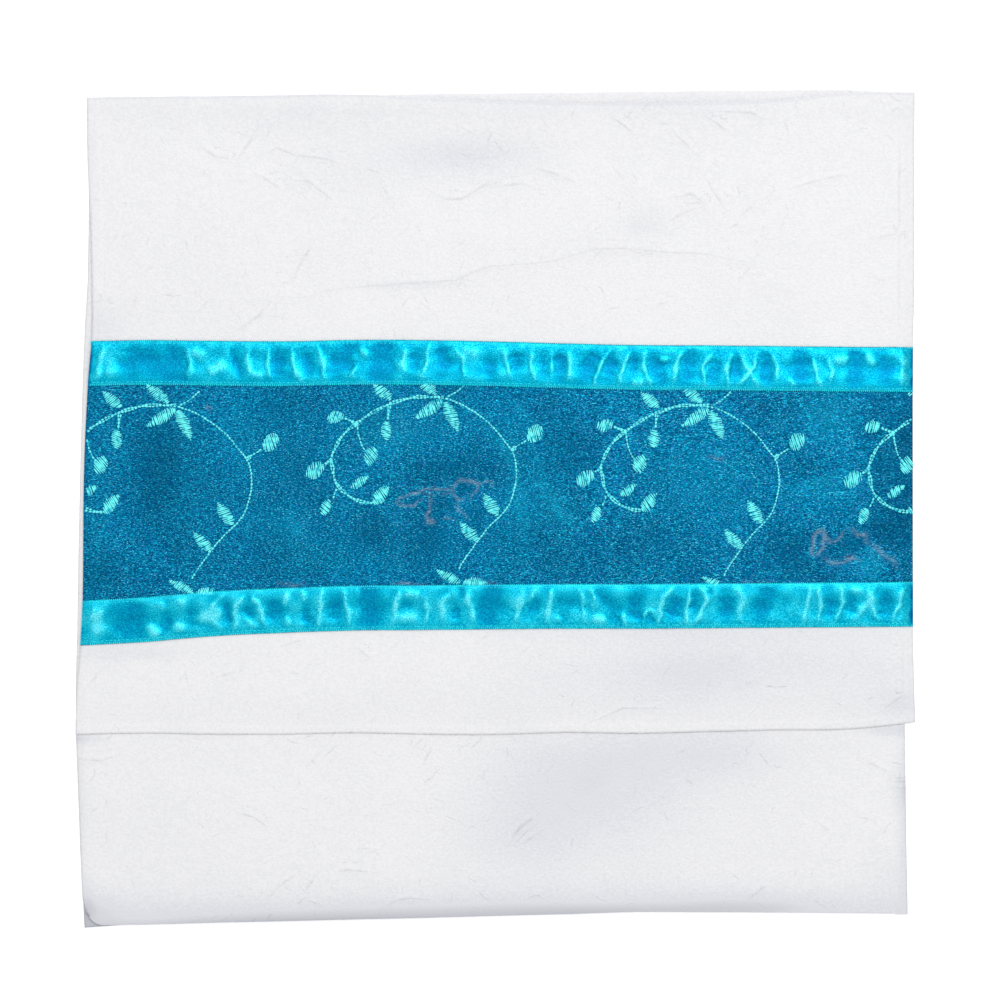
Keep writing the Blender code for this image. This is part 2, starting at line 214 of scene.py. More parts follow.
# Broad rises and hollows in how the cloth lies
Swell = namedtuple("Swell", "x y reach_x reach_y height")
SWELLS = rows_of(Swell, (
    (70, -160, 85, 50, -0.8), (-150, -180, 80, 45, 0.5), (190, -190, 45, 40, 0.4),
    (-100, -95, 100, 26, 0.5), (-60, 15, 80, 45, 0.6), (120, 5, 70, 45, -0.4), (0, 196, 70, 26, -0.6),
    (-150, 180, 60, 40, 0.5), (130, 185, 60, 35, 0.4),
))

# Creases as the photo shows them: height of the ridge, or depth if negative, width and route
Crease = namedtuple("Crease", "height width route")


def creases(*rows):
    """Creases from rows of height, width and the points of their route."""
    return tuple(Crease(height, width, tuple(route)) for height, width, *route in rows)


TOP_CREASES = creases(
    (0.32, 1.3, (-128, 121), (-109, 120), (-97, 124), (-83, 126), (-66, 127), (-39, 129), (-22, 130),
     (-14, 134), (-3, 138), (14, 139), (33, 141), (47, 145), (58, 148), (75, 148), (96, 146),
     (120, 145), (139, 141), (158, 139)),
    (0.35, 1.5, (75, 148), (85, 144)),
    (0.5, 1.5, (-144, 103), (-134, 110), (-128, 117)),
    (0.45, 1.5, (-167, 206), (-159, 200), (-151, 199)),
    (0.45, 1.6, (-136, 214), (-141, 206), (-147, 197)),
    (0.45, 1.5, (-133, 201), (-124, 205), (-114, 201), (-97, 199), (-87, 196)),
    (0.4, 1.5, (-135, 190), (-128, 186), (-121, 181)),
    (0.4, 1.5, (-116, 187), (-106, 186), (-97, 179), (-92, 175)),
    (0.35, 1.5, (-72, 193), (-66, 191)),
    (0.35, 1.5, (-64, 183), (-61, 179)),
    (0.45, 2, (-103, 151), (-109, 142), (-114, 133)),
    (0.35, 1.6, (-229, 117), (-216, 121)),
    (0.5, 1.6, (-34, 179), (-28, 176), (-19, 176), (-11, 181), (1, 188)),
    (0.35, 1.5, (-19, 217), (-12, 213)),
    (0.4, 1.6, (22, 194), (35, 190), (47, 185)),
    (0.35, 1.5, (-5, 183), (9, 184), (16, 185), (24, 182)),
    (0.45, 1.6, (66, 223), (78, 214)),
    (0.4, 1.6, (101, 216), (103, 212), (113, 203)),
    (0.4, 1.6, (120, 223), (134, 213)),
    (0.4, 1.6, (125, 226), (145, 225), (155, 220)),
    (0.45, 1.5, (103, 177), (112, 179), (118, 174)),
    (0.35, 1.5, (99, 164), (113, 171)),
    (0.35, 1.5, (141, 168), (148, 174)),
    (0.4, 1.6, (120, 187), (126, 177), (132, 169)),
    (0.35, 1.8, (167, 182), (184, 187), (199, 190)),
    (0.35, 1.5, (146, 155), (150, 149)),
    (0.35, 1.5, (139, 131), (145, 138)),
    (0.3, 1.5, (91, 116), (99, 118)),
    (0.3, 1.8, (210, 153), (221, 155), (237, 159)),
    (-0.5, 7, (75, 155), (86, 160), (96, 164)),
    (-0.45, 9, (-37, 195), (3, 198), (37, 195)),
    (0.4, 1.5, (-156, -95), (-147, -92)),
    (0.4, 1.5, (-121, -78), (-109, -74)),
    (0.4, 1.5, (-79, -78), (-71, -85)),
    (0.45, 1.5, (-231, -100), (-224, -92)),
    (0.35, 1.5, (139, -101), (148, -97)),
    (0.35, 1.5, (192, -108), (197, -112)),
    (-0.4, 2, (158, -101), (162, -101)),
    (0.45, 2.4, (52, -122), (73, -113), (96, -113)),
    (0.45, 2.2, (220, -114), (235, -103)),
    (-0.35, 7, (-217, -84), (-195, -83), (-172, -84)),
)

# Stitch lines of the side hems
HEM_LINES = creases(
    (0.3, 1, (229.4, 234), (229.2, 180), (229, 96)),
    (0.15, 1, (-222.6, 225), (-221.6, 160), (-221, 100)),
    (0.2, 1, (231, -72), (231.4, -118)),
)
FRONT_CREASES = creases(
    (0.45, 1.6, (-237, -142), (-224, -143), (-216, -140)),
    (0.5, 1.5, (-147, -172), (-137, -175), (-129, -181)),
    (0.5, 1.5, (-124, -215), (-114, -208)),
    (0.45, 1.5, (-108, -217), (-103, -210)),
    (0.5, 1.5, (-91, -206), (-83, -205), (-72, -206)),
    (0.5, 1.5, (-62, -226), (-56, -222), (-47, -221), (-39, -222)),
    (0.4, 1.5, (-71, -195), (-66, -193)),
    (0.45, 1.5, (-46, -135), (-41, -130)),
    (0.45, 1.5, (-41, -145), (-36, -135)),
    (0.4, 1.5, (-37, -153), (-35, -151)),
    (0.8, 1.5, (9, -188), (14, -181), (22, -175)),
    (0.5, 1.5, (14, -191), (25, -184)),
    (0.4, 1.5, (103, -139), (109, -136)),
    (0.4, 1.5, (184, -178), (189, -183)),
    (0.4, 1.5, (210, -143), (221, -148)),
    (0.5, 2.2, (143, -222), (155, -213)),
    (0.5, 1.5, (19, -221), (24, -219), (27, -221)),
    (-0.6, 12, (22, -150), (60, -152), (100, -155), (135, -160)),
    (0.45, 5, (167, -129), (150, -146), (120, -174)),
    (-0.4, 7, (145, -221), (180, -222), (209, -221)),
    (0.4, 1.8, (227, -153), (235, -152)),
    (0.4, 1.8, (227, -158), (235, -159)),
)

# Small crinkles that the finish of the cloth leaves all over it: how many, and in which part
Crinkles = namedtuple("Crinkles", "count left right low high seed")
TOP_CRINKLES = (
    Crinkles(330, -232, 236, 98, 232, 11),
    Crinkles(120, -236, 238, -126, -72, 12),
)
FRONT_CRINKLES = (Crinkles(260, -236, 233, -232, -129, 13),)

# How each ribbon is gathered: ridges that run across it, raised and given a painted highlight, and,
# negative, the hollows between them, lowered and given painted shade; the deepest, at the ends, paint
# the shade of the turned ends. Routes give the place along the shawl, and across the ribbon from its
# middle.
# The tone makes the whole ribbon lighter or darker.
Puckers = namedtuple("Puckers", "tone seed gleams")
UPPER_PUCKERS = Puckers(-0.1, 21, creases(
    (-2.2, 1.1, (-230.4, 14), (-231.2, -14)),
    (0.9, 1.2, (-222, 9), (-225, 0), (-226.5, -10)),
    (0.4, 4.1, (-217, 6), (-221, -8)),
    (-0.5, 5, (-207, 9), (-207, -9)),
    (-0.6, 8, (-197, 1), (-188, -3)),
    (-0.4, 5, (-181, 6), (-180, -8)),
    (0.8, 1.1, (-175, 8), (-173, 0), (-174.5, -10)),
    (0.7, 2.5, (-170, 6), (-168, 5)),
    (0.9, 3.1, (-153, 2), (-158, -3), (-164, -6)),
    (-0.7, 2.5, (-150, 8), (-147, 0), (-144.5, -9)),
    (1, 1.1, (-141, 8), (-140.5, 0), (-139.5, -6)),
    (0.5, 1.8, (-138, -6), (-134, -7)),
    (0.8, 1.1, (-129, 8), (-129.5, 0), (-127.5, -9)),
    (-1, 3.8, (-123.5, 7), (-123, 0), (-123.5, -7)),
    (1, 1.1, (-116, 8), (-115, 1), (-112.5, -8)),
    (0.5, 2, (-112, -7), (-110, -9)),
    (-0.8, 3.3, (-107, 6), (-106.5, -6)),
    (0.8, 1.1, (-101.5, 10), (-98.5, 2), (-97.5, -6), (-98, -11)),
    (-0.6, 4, (-92, 6), (-91, -7)),
    (-0.8, 3.6, (-83.5, 7), (-84.5, -1)),
    (0.7, 2.1, (-75.5, 6), (-73.5, 4.5)),
    (0.7, 1.8, (-80, -4), (-81, -7)),
    (-0.8, 6.5, (-64, 7), (-66, -7)),
    (1, 1.6, (-51, 8), (-52.5, 0), (-51.5, -6)),
    (0.4, 2.6, (-55, 2), (-54, -6)),
    (-0.5, 3, (-46, 6), (-46, -6)),
    (0.8, 1.1, (-37.5, 10), (-39, 5), (-38.5, 0), (-42, -10)),
    (-0.9, 3.8, (-32, 8), (-29.5, 1), (-25.5, -5)),
    (0.6, 2.8, (-19, 8), (-8, 5)),
    (0.8, 1.1, (-23, 8), (-19, 3), (-17.5, -7)),
    (-0.7, 3.4, (-3, 4), (-4, -8)),
    (0.9, 1.1, (5.3, 8), (6.5, 0), (8.5, -8)),
    (-0.7, 3.4, (11.5, 7), (12.5, -4)),
    (1, 1.1, (20, 7), (20, 1), (21, -4), (23, -8)),
    (-0.4, 2.3, (27, 6), (27, -6)),
    (0.5, 0.9, (32, 7), (32, -7)),
    (-1, 2.8, (36.5, 7), (36, -6)),
    (1, 1.1, (41.5, 8), (42.5, 1), (41, -8)),
    (-0.9, 4.4, (57, 8), (53, -1), (50.5, -8)),
    (1, 1.1, (65, 9), (60, 3), (57.5, -5), (56, -11)),
    (-0.9, 3.4, (66, 6), (64, -6)),
    (1, 1.1, (75.5, 8), (73, 2), (71, -5), (70.5, -9)),
    (-0.8, 2.2, (78.5, 7), (78.5, -3)),
    (0.6, 1.8, (79, -9), (83, -9)),
    (1, 1.1, (84, 8), (84.5, -1), (88.5, -10)),
    (-1, 3.8, (90, 6), (94, -7)),
    (0.8, 1.1, (93.5, 6), (95, 4), (98, 5)),
    (1, 1.1, (106, 9), (102.5, 2), (101.5, -5), (102, -9)),
    (-0.8, 3.8, (110.5, 8), (109.5, -8)),
    (0.9, 1.1, (123, 9), (118.5, 2), (118, -5), (119.5, -11)),
    (-0.8, 3, (125.5, 5), (123.5, -7)),
    (1, 1.1, (133.5, 8), (131.5, -1), (132.5, -11)),
    (-0.9, 2.8, (136, 7), (136.5, -6)),
    (0.9, 1.1, (140, 6), (143, 0), (149, -9)),
    (1, 1.1, (148.5, 8), (146, 0), (138, -10)),
    (-1, 3, (153, 8), (154, -8)),
    (0.8, 1.1, (157, 8), (160.5, 0), (159, -7)),
    (0.5, 1.8, (168, -7), (169, -9)),
    (-1, 4.8, (173.5, 8), (173, -8)),
    (1, 1.1, (180, 7), (182.5, -2), (184.5, -11)),
    (0.8, 1.1, (188, 6), (191.5, -1), (189, -10)),
    (0.8, 2.1, (195, 5), (199, 6)),
    (-0.8, 4.5, (204, 7), (205, -6)),
    (0.9, 2, (211.5, 7), (214, 4)),
    (-0.8, 4.5, (220.5, 8), (221.5, -9)),
    (0.9, 1.8, (232, 8), (231.5, -1), (231, -10)),
    (-1.8, 0.8, (237, 14), (237, -14)),
))
LOWER_PUCKERS = Puckers(0.12, 22, creases(
    (0.9, 3, (-228, 9), (-225.5, 0), (-227, -9)),
    (-0.5, 5, (-214, 6), (-213, -6)),
    (-1, 5, (-206.5, 9), (-202, -9)),
    (0.8, 2.3, (-196, -5), (-193.5, -8)),
    (0.4, 1.8, (-190, 8), (-189, 6)),
    (-0.7, 3.2, (-187.5, 4), (-186.5, -8)),
    (0.5, 2, (-179, 8), (-177, 7)),
    (0.7, 2.1, (-180.5, -6), (-178, -7)),
    (-0.4, 3, (-172, 5), (-172.5, -8)),
    (0.8, 3.1, (-166, -1), (-159, -1)),
    (0.6, 1.2, (-155, 10), (-160, 5), (-167, -4)),
    (0.5, 1.2, (-163, -1), (-156, -9)),
    (-0.8, 2.6, (-153, 7), (-151.5, -7)),
    (0.9, 1.2, (-143, 9), (-147.5, 4), (-147.5, -3), (-148, -9)),
    (-0.7, 2.6, (-141, 4), (-139, -4)),
    (0.9, 1.1, (-139, 9), (-135, 4), (-132.5, -3), (-131, -9)),
    (0.5, 1.1, (-143, -3), (-139, -7), (-135, -9)),
    (-0.9, 3.8, (-126.5, 7), (-125.5, -7)),
    (0.7, 1.8, (-118.5, 8), (-118.5, 5)),
    (0.6, 1.8, (-119, -5), (-118, -7)),
    (0.5, 1.5, (-109.5, 10), (-108.5, 6)),
    (-0.7, 2.6, (-107.5, 1), (-107, -9)),
    (1, 1.3, (-98.5, 10), (-99.5, 3), (-99.5, -2), (-101, -10)),
    (-0.8, 4, (-91.5, 7), (-90.5, -7)),
    (1, 1.1, (-86, 10), (-84.5, 3), (-83.5, -3), (-83, -9)),
    (0.4, 1.5, (-79, 10), (-78, 7)),
    (-1, 6.5, (-72, 8), (-70.5, -6)),
    (0.9, 1.4, (-55, 9), (-57, 1), (-58, -8)),
    (0.6, 2.5, (-53, -6), (-47, -6)),
    (-0.5, 2.6, (-51, 2), (-48, 1)),
    (0.5, 1.8, (-49, 8), (-46, 7)),
    (0.8, 1.4, (-40.5, 6), (-38, -1), (-40, -9)),
    (0.8, 1.8, (-26, 8), (-31, 2), (-29, -8)),
    (-0.8, 2.3, (-22.5, 1), (-22.5, -7)),
    (-0.6, 1.8, (-20, 10), (-19.5, 6)),
    (0.9, 1.6, (-15.5, 10), (-15.5, 3), (-13, -4), (-12, -8)),
    (-1, 6, (-2, 8), (-4, -6)),
    (0.9, 1.8, (15.5, 9), (14, 1), (12, -4), (11.5, -9)),
    (0.5, 1.1, (22, 9), (18, 3), (15, 0)),
    (-0.6, 3.2, (25, 5), (20, -6)),
    (1, 1.1, (31.5, 10), (31, 3), (30, -3), (29, -9)),
    (-0.5, 4.2, (38, 2), (42, 1)),
    (0.5, 1.3, (35, -7), (37, -8)),
    (0.6, 1.3, (48, 10), (50, 2), (50.5, -9)),
    (0.6, 1.1, (54.5, 10), (56, 3)),
    (0.7, 2.1, (57, -7), (61, -8)),
    (-0.6, 3, (59, 6), (61.5, 4)),
    (-0.4, 4.2, (67, 1), (68, -6)),
    (0.6, 1.5, (73, -6), (73.5, -9)),
    (-1, 4, (79, 9), (79.5, -9)),
    (0.8, 0.8, (84, -10), (84, -5), (87, -2.5), (90.5, -3.5)),
    (-0.6, 1.8, (87.5, -5), (88.5, -8)),
    (1, 1.1, (101, 11), (95.5, 5), (93.5, 0), (94, -5), (92, -10)),
    (-1, 3.8, (104.5, 6), (99.5, -7)),
    (1, 1, (110.5, 10), (109, 2), (108, -5), (109, -9.5), (112, -10.5)),
    (-0.8, 2.3, (113.5, 7), (112.5, -5)),
    (1, 1.1, (117, 10), (119.5, 2), (117, -4), (112, -11)),
    (-0.5, 1.4, (122, 9), (122, 7)),
    (-0.9, 3.8, (131.5, 6), (131, -8)),
    (0.7, 1.6, (138, 10), (140.5, 4), (139, -3), (138.5, -9)),
    (-1, 4.6, (157, 10), (153, 2), (148, -8)),
    (0.9, 1.1, (178.5, 10), (177.5, 3), (176, -3), (175, -10)),
    (1, 1.1, (183, 10), (184.5, 4), (184.5, -1), (183, -9)),
    (-0.8, 3.5, (190.5, 7), (190.5, -7)),
    (0.9, 1.1, (196, 10), (196.8, 4), (196, -2), (193, -9)),
    (-0.6, 2.6, (202, 4), (202, -3)),
    (0.5, 1.8, (204, 8), (206, 8)),
    (0.8, 1.5, (212, 10), (212, 2), (204, -8)),
    (0.8, 1.2, (216, 10), (213, 1), (217.5, -9)),
    (-0.9, 3.8, (222, 8), (222, -7)),
    (1, 1.1, (232, 10), (229.5, 1), (227, -5), (225, -10)),
    (-2, 1, (236.8, 14), (236.8, -14)),
))

# Interference in the organza, where its two plies lie off each other: strength, width and route
MOIRE_LINES = creases(
    (0.9, 0.58, (-56.5, 3.2), (-54.9, 5.8), (-50.4, 7.7), (-44.1, 8.6), (-41, 10.8), (-37.2, 10.5)),
    (0.9, 0.58, (-56.5, 3.2), (-53, 1.6), (-46, 1.6), (-44.1, 3.6), (-41.6, 6.1)),
    (0.8, 0.43, (-41.7, 8.6), (-33.4, 8), (-25.8, 8)),
    (0.8, 0.5, (-41, 10.8), (-33.4, 11.5), (-25.8, 10.5), (-23.3, 9.3)),
    (1, 0.72, (-24.6, 10.5), (-23.3, 13.7), (-20.8, 15.8), (-17.7, 16.2), (-13.2, 15.2), (-9.4, 13.7),
     (-10.7, 10.5), (-12.6, 8.6), (-14.5, 5.8)),
    (1, 0.58, (-24.6, 10.5), (-24.3, 8), (-22, 5.8), (-17.7, 5.2)),
    (0.7, 0.5, (-9.4, 13.7), (-5.6, 15.6), (-2.5, 14.9), (-1.9, 12.4)),
    (0.8, 0.72, (-36.9, 7.3), (-36.6, 4.2), (-37.5, -0.2), (-39.1, -4), (-38.5, -7.2), (-35.3, -7.8)),
    (0.8, 1.44, (-37.5, -7), (-36, -7.5)),
    (0.7, 0.43, (-30.3, -5.3), (-27.1, -5.6), (-22.7, -6.5)),
    (0.7, 0.65, (-22, 3.6), (-21.4, -0.2), (-18.3, -2.7), (-15.7, -5.3)),
    (0.9, 0.94, (180, -26), (180.4, -17.1), (182.4, -13), (185.7, -12.6), (187.3, -16.2),
     (186.1, -21.9), (182.8, -26)),
    (0.8, 0.65, (187.3, -16.2), (190.2, -19.5), (194.2, -17.9), (198.7, -12.2)),
    (0.9, 0.72, (186.1, -27.6), (190.2, -30.9), (197.4, -30.9), (203.1, -27.6), (207.2, -30)),
    (0.7, 1.3, (198, -28.5), (204, -27.5)),
    (0.9, 0.86, (201.9, -11), (205.6, -15.4), (210.4, -14.7), (210, -18.7)),
    (0.6, 1.01, (210, -18.7), (215.3, -21.9), (221, -26.8), (226.7, -30), (227.5, -34.1)),
    (0.8, 0.86, (-165, 58), (-161, 56)),
    (0.7, 0.72, (121, 29.5), (125, 28), (130, 28)),
    (0.7, 0.58, (-124, -42), (-116, -43.5), (-108, -43)),
    (0.7, 0.58, (-60, -43), (-54, -42), (-46, -43.5), (-38, -43)),
    (0.6, 0.58, (-6, -42), (1, -43)),
    (0.6, 0.58, (140, -41), (150, -43), (160, -42)),
)

# How far the interference lines waver, and over what length
MOIRE_WOBBLE, MOIRE_REACH = 0.35, 6

# Darker and lighter places in the organza
Patch = namedtuple("Patch", "x y reach_x reach_y tone")
ORGANZA_PATCHES = rows_of(Patch, (
    (-16, 11, 5, 4, -0.7), (-30, 3, 6, 5, -0.8), (-10, -4, 5, 8, -0.8), (-192, 24, 20, 34, -1),
    (-224, -38, 10, 10, -0.7), (-125, 60, 10, 9, -0.7), (-110, 18, 14, 22, -0.7),
    (-25, 23, 32, 9, -0.9), (-70, -15, 10, 10, -1), (-39, -14, 12, 20, -1), (43, 30, 12, 22, -0.8),
    (38, -28, 14, 10, -0.4), (88, -22, 30, 14, -0.5), (170, -26, 20, 16, -1), (201, -21, 10, 8, -1),
    (215, -12, 18, 10, -0.7), (223, -34, 5, 5, -0.6), (226, -10, 10, 12, -0.8), (226, 28, 16, 34, -0.8),
    (173, 26, 14, 8, -0.6), (-146, 46, 10, 18, 0.3), (-119, -10, 14, 14, 0.5), (-99, -30, 16, 10, 0.3),
    (-59, 40, 22, 14, 0.6), (10, 20, 10, 34, 0.6), (35, 2, 12, 12, 0.6), (118, 20, 28, 20, 0.4),
    (188, 52, 14, 14, 1), (185, 10, 24, 7, 0.7), (180, -24, 5, 6, 1.2), (214, -30, 9, 9, 1.4),
))

# Long light streaks of painted sheen, where the organza lies in soft ripples
ORGANZA_STREAKS = creases(
    (0.7, 2.6, (-14.6, 54.2), (4.3, 35.5), (12.2, 19.6), (13.9, -2.6), (20.2, -28.1)),
    (0.9, 2.6, (23.3, 35.5), (26.4, 13.3), (36, -0.9), (48.6, -13.3)),
    (0.5, 2, (10.5, 60.5), (26.4, 44.6)),
    (0.5, 3, (159, 57.7), (160, 35.5)),
    (0.8, 2.5, (171.8, 9.9), (186, 16), (200, 19.6)),
    (0.5, 1.6, (-56, -2.6), (-54, -37)),
    (0.5, 2.4, (-119, -2), (-112, -14), (-104, -20)),
)

# Painted bluish shade on the white cloth, in its hollows, along the ribbons and along its hems and
# folded edges, and over 1 painted grey shade where an edge turns under
TOP_SHADES = rows_of(Patch, (
    (110, -95, 70, 20, 0.6), (160, -85, 60, 12, 0.25), (112, -97, 20, 12, 0.2), (0, -105, 70, 16, 0.15),
    (120, -71, 110, 6, 0.4), (-205, -82, 34, 5, 0.5), (232, -112, 12, 8, 0.5), (-226, 104, 14, 12, 0.5),
    (-16, 199, 34, 11, 0.4), (-60, 196, 60, 14, 0.15), (84, 160, 14, 6, 0.35), (40, 147, 50, 7, 0.15),
    (0, 226, 240, 6, 0.25), (-50, 127, 30, 2.5, 0.4), (-20, 201, 40, 9, 0.25), (222, -98, 28, 22, 0.35),
    (-120, 218, 60, 8, 0.15),
))
FRONT_SHADES = rows_of(Patch, (
    (105, -138, 60, 20, 0.5), (60, -160, 55, 26, 0.45), (25, -188, 26, 20, 0.35),
    (-60, -232, 190, 9, 0.7), (-90, -238, 170, 4, 0.8), (60, -231, 60, 6, 0.3),
    (150, -226, 60, 9, 0.65), (40, -222, 110, 12, 0.35), (40, -150, 50, 22, 0.35),
    (0, -185, 34, 22, 0.3), (0, -232, 400, 14, 0.45), (-90, -236, 110, 6, 0.3),
    (130, -140, 30, 14, 0.3), (50, -175, 44, 30, 0.3), (225, -215, 20, 18, 0.3),
    (-232, -222, 5, 12, 0.5), (-225, -226, 16, 10, 0.5), (233, -180, 4, 60, 0.8),
    (231, -160, 6, 14, 0.6), (-237, -180, 3, 60, 0.5), (-236, -131, 12, 2.5, 1), (225, -126, 14, 3, 1),
))

# Embroidery: one sprig, charted from its node in steps along and up the band. Each time that it
# comes again, the organza lies a little more or less stretched.
Sprig = namedtuple("Sprig", "x y stretch_x stretch_y")
SPRIGS = (
    Sprig(-180.3, 57.9, 1.08, 1.02),
    Sprig(-28.4, 62.6, 1.04, 1.01),
    Sprig(122.3, 57.8, 1.0, 1.0),
    Sprig(274.2, 57.1, 1.0, 1.0),
)
ARC = ((0, 0), (8.4, -3.2), (15.6, -7.6), (21.9, -12.3), (27.1, -17.5), (31.5, -23.1), (36.3, -29.5),
       (38.3, -35.8), (38.7, -44.6), (37, -53.4), (34.7, -59.8), (30.7, -65.3), (24.3, -71.7),
       (17.9, -79.7), (12.4, -87.6), (9.2, -92.4), (7.2, -96.4))
BRANCH = ((-1, 0.6), (-11.5, 0.8), (-17.9, 0.4), (-24.3, -1.2), (-29.5, -2.8), (-34.6, -5.2),
          (-41, -8.7), (-46.6, -12.7), (-53.8, -18.3), (-58.2, -23.9), (-60.9, -29.5),
          (-62.5, -34.3), (-61.7, -39), (-60.9, -44.6), (-58.6, -49.4), (-53.8, -54.1), (-49, -57),
          (-43.4, -58.6), (-39.4, -59))
# Stems as (rows of stitches, route)
STEMS = (
    (1, ARC),
    (2, BRANCH),
    (1, ((36, -28.6), (40, -26.4), (44.3, -23.6))),
    (1, ((36.3, -29.5), (38.6, -28.6), (36.6, -26.6))),
    (1, ((1.2, 0.8), (6, 3.6), (11.6, 8.8))),
    (2, ((-30.7, -4.4), (-31.5, -12.3))),
    (2, ((-48.2, -14.4), (-55.4, -11.1))),
    (1, ((-48.2, -14.4), (-47.4, -20.6), (-45, -27.9), (-42.4, -30.5))),
    (2, ((-62, -34.3), (-66.1, -37.4))),
    (1, ((-59.4, -51), (-61.7, -56.6))),
)
# Satin-stitch leaves and buds as (base, tip, width, round)
LEAVES = (
    ((-1.2, -1.6), (-16.7, -11.1), 6.4, False),
    ((0, -2), (6.8, -18.7), 6.8, False),
    ((-5.2, 2), (-17, 13), 6.0, False),
    ((-29.9, -0.7), (-39.8, 8.4), 6.0, False),
    ((-39.4, -59), (-30.7, -49.4), 7.0, False),
    ((-51.4, -50.2), (-41.8, -44.2), 4.8, False),
    ((28.3, -66.1), (21.1, -53.4), 6.8, False),
    ((17.2, -80.8), (8, -69.7), 6.2, False),
    ((8, -104), (-5, -96.5), 5.0, False),
    ((9.3, -103.6), (23, -104), 6.0, False),
    ((44.6, -22.4), (53.0, -17.2), 9.0, True),
    ((-31.9, -13.3), (-32.7, -23.3), 6.0, True),
    ((-55.9, -10.8), (-64.5, -10.6), 7.2, True),
    ((-43.4, -36.2), (-37.8, -28.6), 8.0, True),
    ((-66.4, -38.6), (-76.2, -42.6), 8.7, True),
    ((-63.2, -57.2), (-67.4, -65.4), 5.5, True),
)

# Spacing of stitches: small loops along a ribbon's edge, its seams, stems and leaves
PICOT_PITCH = 1.1
SEAM_PITCH = 2.4
STITCH_LENGTH = 2.0
SATIN_PITCH = 1.05

# Loops and seams: how far they lie inside a ribbon's edge, a loop's length, a seam stitch's share
# of its spacing, how far their middles stand off the ribbon, and how deep their ends lie in it
LOOP_INSET, LOOP_LENGTH, LOOP_LIFT = 0.45, 1.1, 0.1
SEAM_INSET, SEAM_SHARE, SEAM_LIFT = 1.9, 0.6, 0.02
STITCH_SINK = 0.12

# How far the embroidery goes on under the ribbons, and how far inside the band's sides it ends
UNDER_RIBBON = 1.0
BAND_MARGIN = 1.2

# Stem stitches: half the gap of a double row, how much it opens and closes, in a wave of so many
# radians a stitch, and the gap at the end of each stitch
ROW_GAP, ROW_SWING, ROW_BEAT = 0.38, 0.3, 0.9
STITCH_GAP = 0.22

# Leaf stitches: their slant towards the tip, with its spread, and half the length of the shortest
LEAF_SLANT = (0.24, 0.06)
SHORTEST_HALF = 0.5

# How far the embroidery's threads stand off the organza, and how far their middles arch up
STEM_LIFT, STEM_ARCH = 0.1, 0.12
LEAF_LIFT, LEAF_ARCH = 0.12, 0.4

# How far stitches stray: stem stitches, leaf stitches along the leaf, and the ends of those
STEM_JITTER, LEAF_JITTER, END_JITTER = 0.1, 0.13, 0.25

# Thickness of threads, as a range and as the share that their ends keep
THREAD_SWELL = (0.8, 1.15)
THREAD_END = 0.55

# The stage in metres: half the floor's side and its glow, the window light, and the camera, which
# hangs so far over the shawl's top and looks straight down. Its sensor is in millimetres.
FLOOR_REACH, FLOOR_GLOW = 3.0, 0.35
SKY_COLOUR = (0.985, 0.99, 1.0)
WINDOW_SIZE, WINDOW_PLACE = (1.7, 1.1), (0.45, 1.1, 3.2)
CAMERA_PLACE = (2.556 * MM, 4.83 * MM)
VIEW_DISTANCE, SENSOR = 3.0, 36.0

# Colours that aren't among the settings: blue specks and painted sparkle in the organza, the whitest
# painted highlight on the ribbons, the ribbons' thread, and the tint of reflections on satin and on
# thread
BLUE_SPECK = (0.03, 0.14, 0.58)
SPARKLE = (0.13, 0.74, 0.92)
GLINT = (0.22, 0.85, 0.93)
LOOP_COLOUR = (0.03, 0.92, 1.0)
SATIN_TINT = (0.1, 1.0, 0.9, 1.0)
THREAD_TINT = (0.2, 1.0, 1.0, 1.0)


def along(table, column, at):
    """The named column at places between the table's rows, on a smooth curve through them."""
    keys = np.array([row[0] for row in table], dtype=float)
    values = np.array([getattr(row, column) for row in table], dtype=float)
    before = np.maximum(np.arange(len(keys)) - 1, 0)
    after = np.minimum(np.arange(len(keys)) + 1, len(keys) - 1)
    slopes = (values[after] - values[before]) / (keys[after] - keys[before])
    at = np.clip(at, keys[0], keys[-1])
    low = np.clip(np.searchsorted(keys, at, side="right") - 1, 0, len(keys) - 2)
    span = keys[low + 1] - keys[low]
    t = (at - keys[low]) / span
    return (
        (2 * t**3 - 3 * t**2 + 1) * values[low]
        + (t**3 - 2 * t**2 + t) * slopes[low] * span
        + (3 * t**2 - 2 * t**3) * values[low + 1]
        + (t**3 - t**2) * slopes[low + 1] * span
    )


def line_y(line, x):
    """Y of a line that runs across, at these X."""
    if line == "return_end":
        return line_y("fold", x) - TURN_RADIUS - RETURN
    return along(ACROSS, line, x)


def edge_x(edge, y):
    """X of a side edge, at these Y."""
    return along(SIDES, edge, y)


def smooth(t):
    """0 below 0, 1 above 1, and a soft step between."""
    t = np.clip(t, 0.0, 1.0)
    return t * t * (3 - 2 * t)


def from_sides(cloth, x, y):
    """How far points lie inside the nearer side edge of the cloth, which is stack or panel."""
    return np.minimum(x - edge_x(cloth + "_left", y), edge_x(cloth + "_right", y) - x)


def in_hem(depth, inside):
    """1 on a hem of this depth, 0 past its ramp, by how far points lie inside the edge."""
    return smooth((depth + HEM_RAMP - inside) / HEM_RAMP)


def stack_height(x, y):
    """Top of the hidden layers, which drops towards both sides."""
    height = HIDDEN_LAYERS * LAYER + np.zeros(np.shape(x))
    for swell in SWELLS:
        out = np.hypot((x - swell.x) / swell.reach_x, (y - swell.y) / swell.reach_y)
        height += swell.height * np.exp(-out * out)
    inside = from_sides("stack", x, y)
    near = 1 - np.clip(inside, 0.0, SIDE_ROLL) / SIDE_ROLL
    return height - SIDE_ROLL_DEPTH * near**2 - OVERHANG_SLOPE * np.maximum(-inside, 0.0)


def rolled_height(x, y):
    """Top of the hidden layers with the roll down into their front fold."""
    inside = np.clip(y - line_y("stack_front", x), 0.0, FRONT_ROLL)
    rise = np.sqrt(1 - (1 - inside / FRONT_ROLL) ** 2)
    return LEDGE + (stack_height(x, y) - LEDGE) * rise


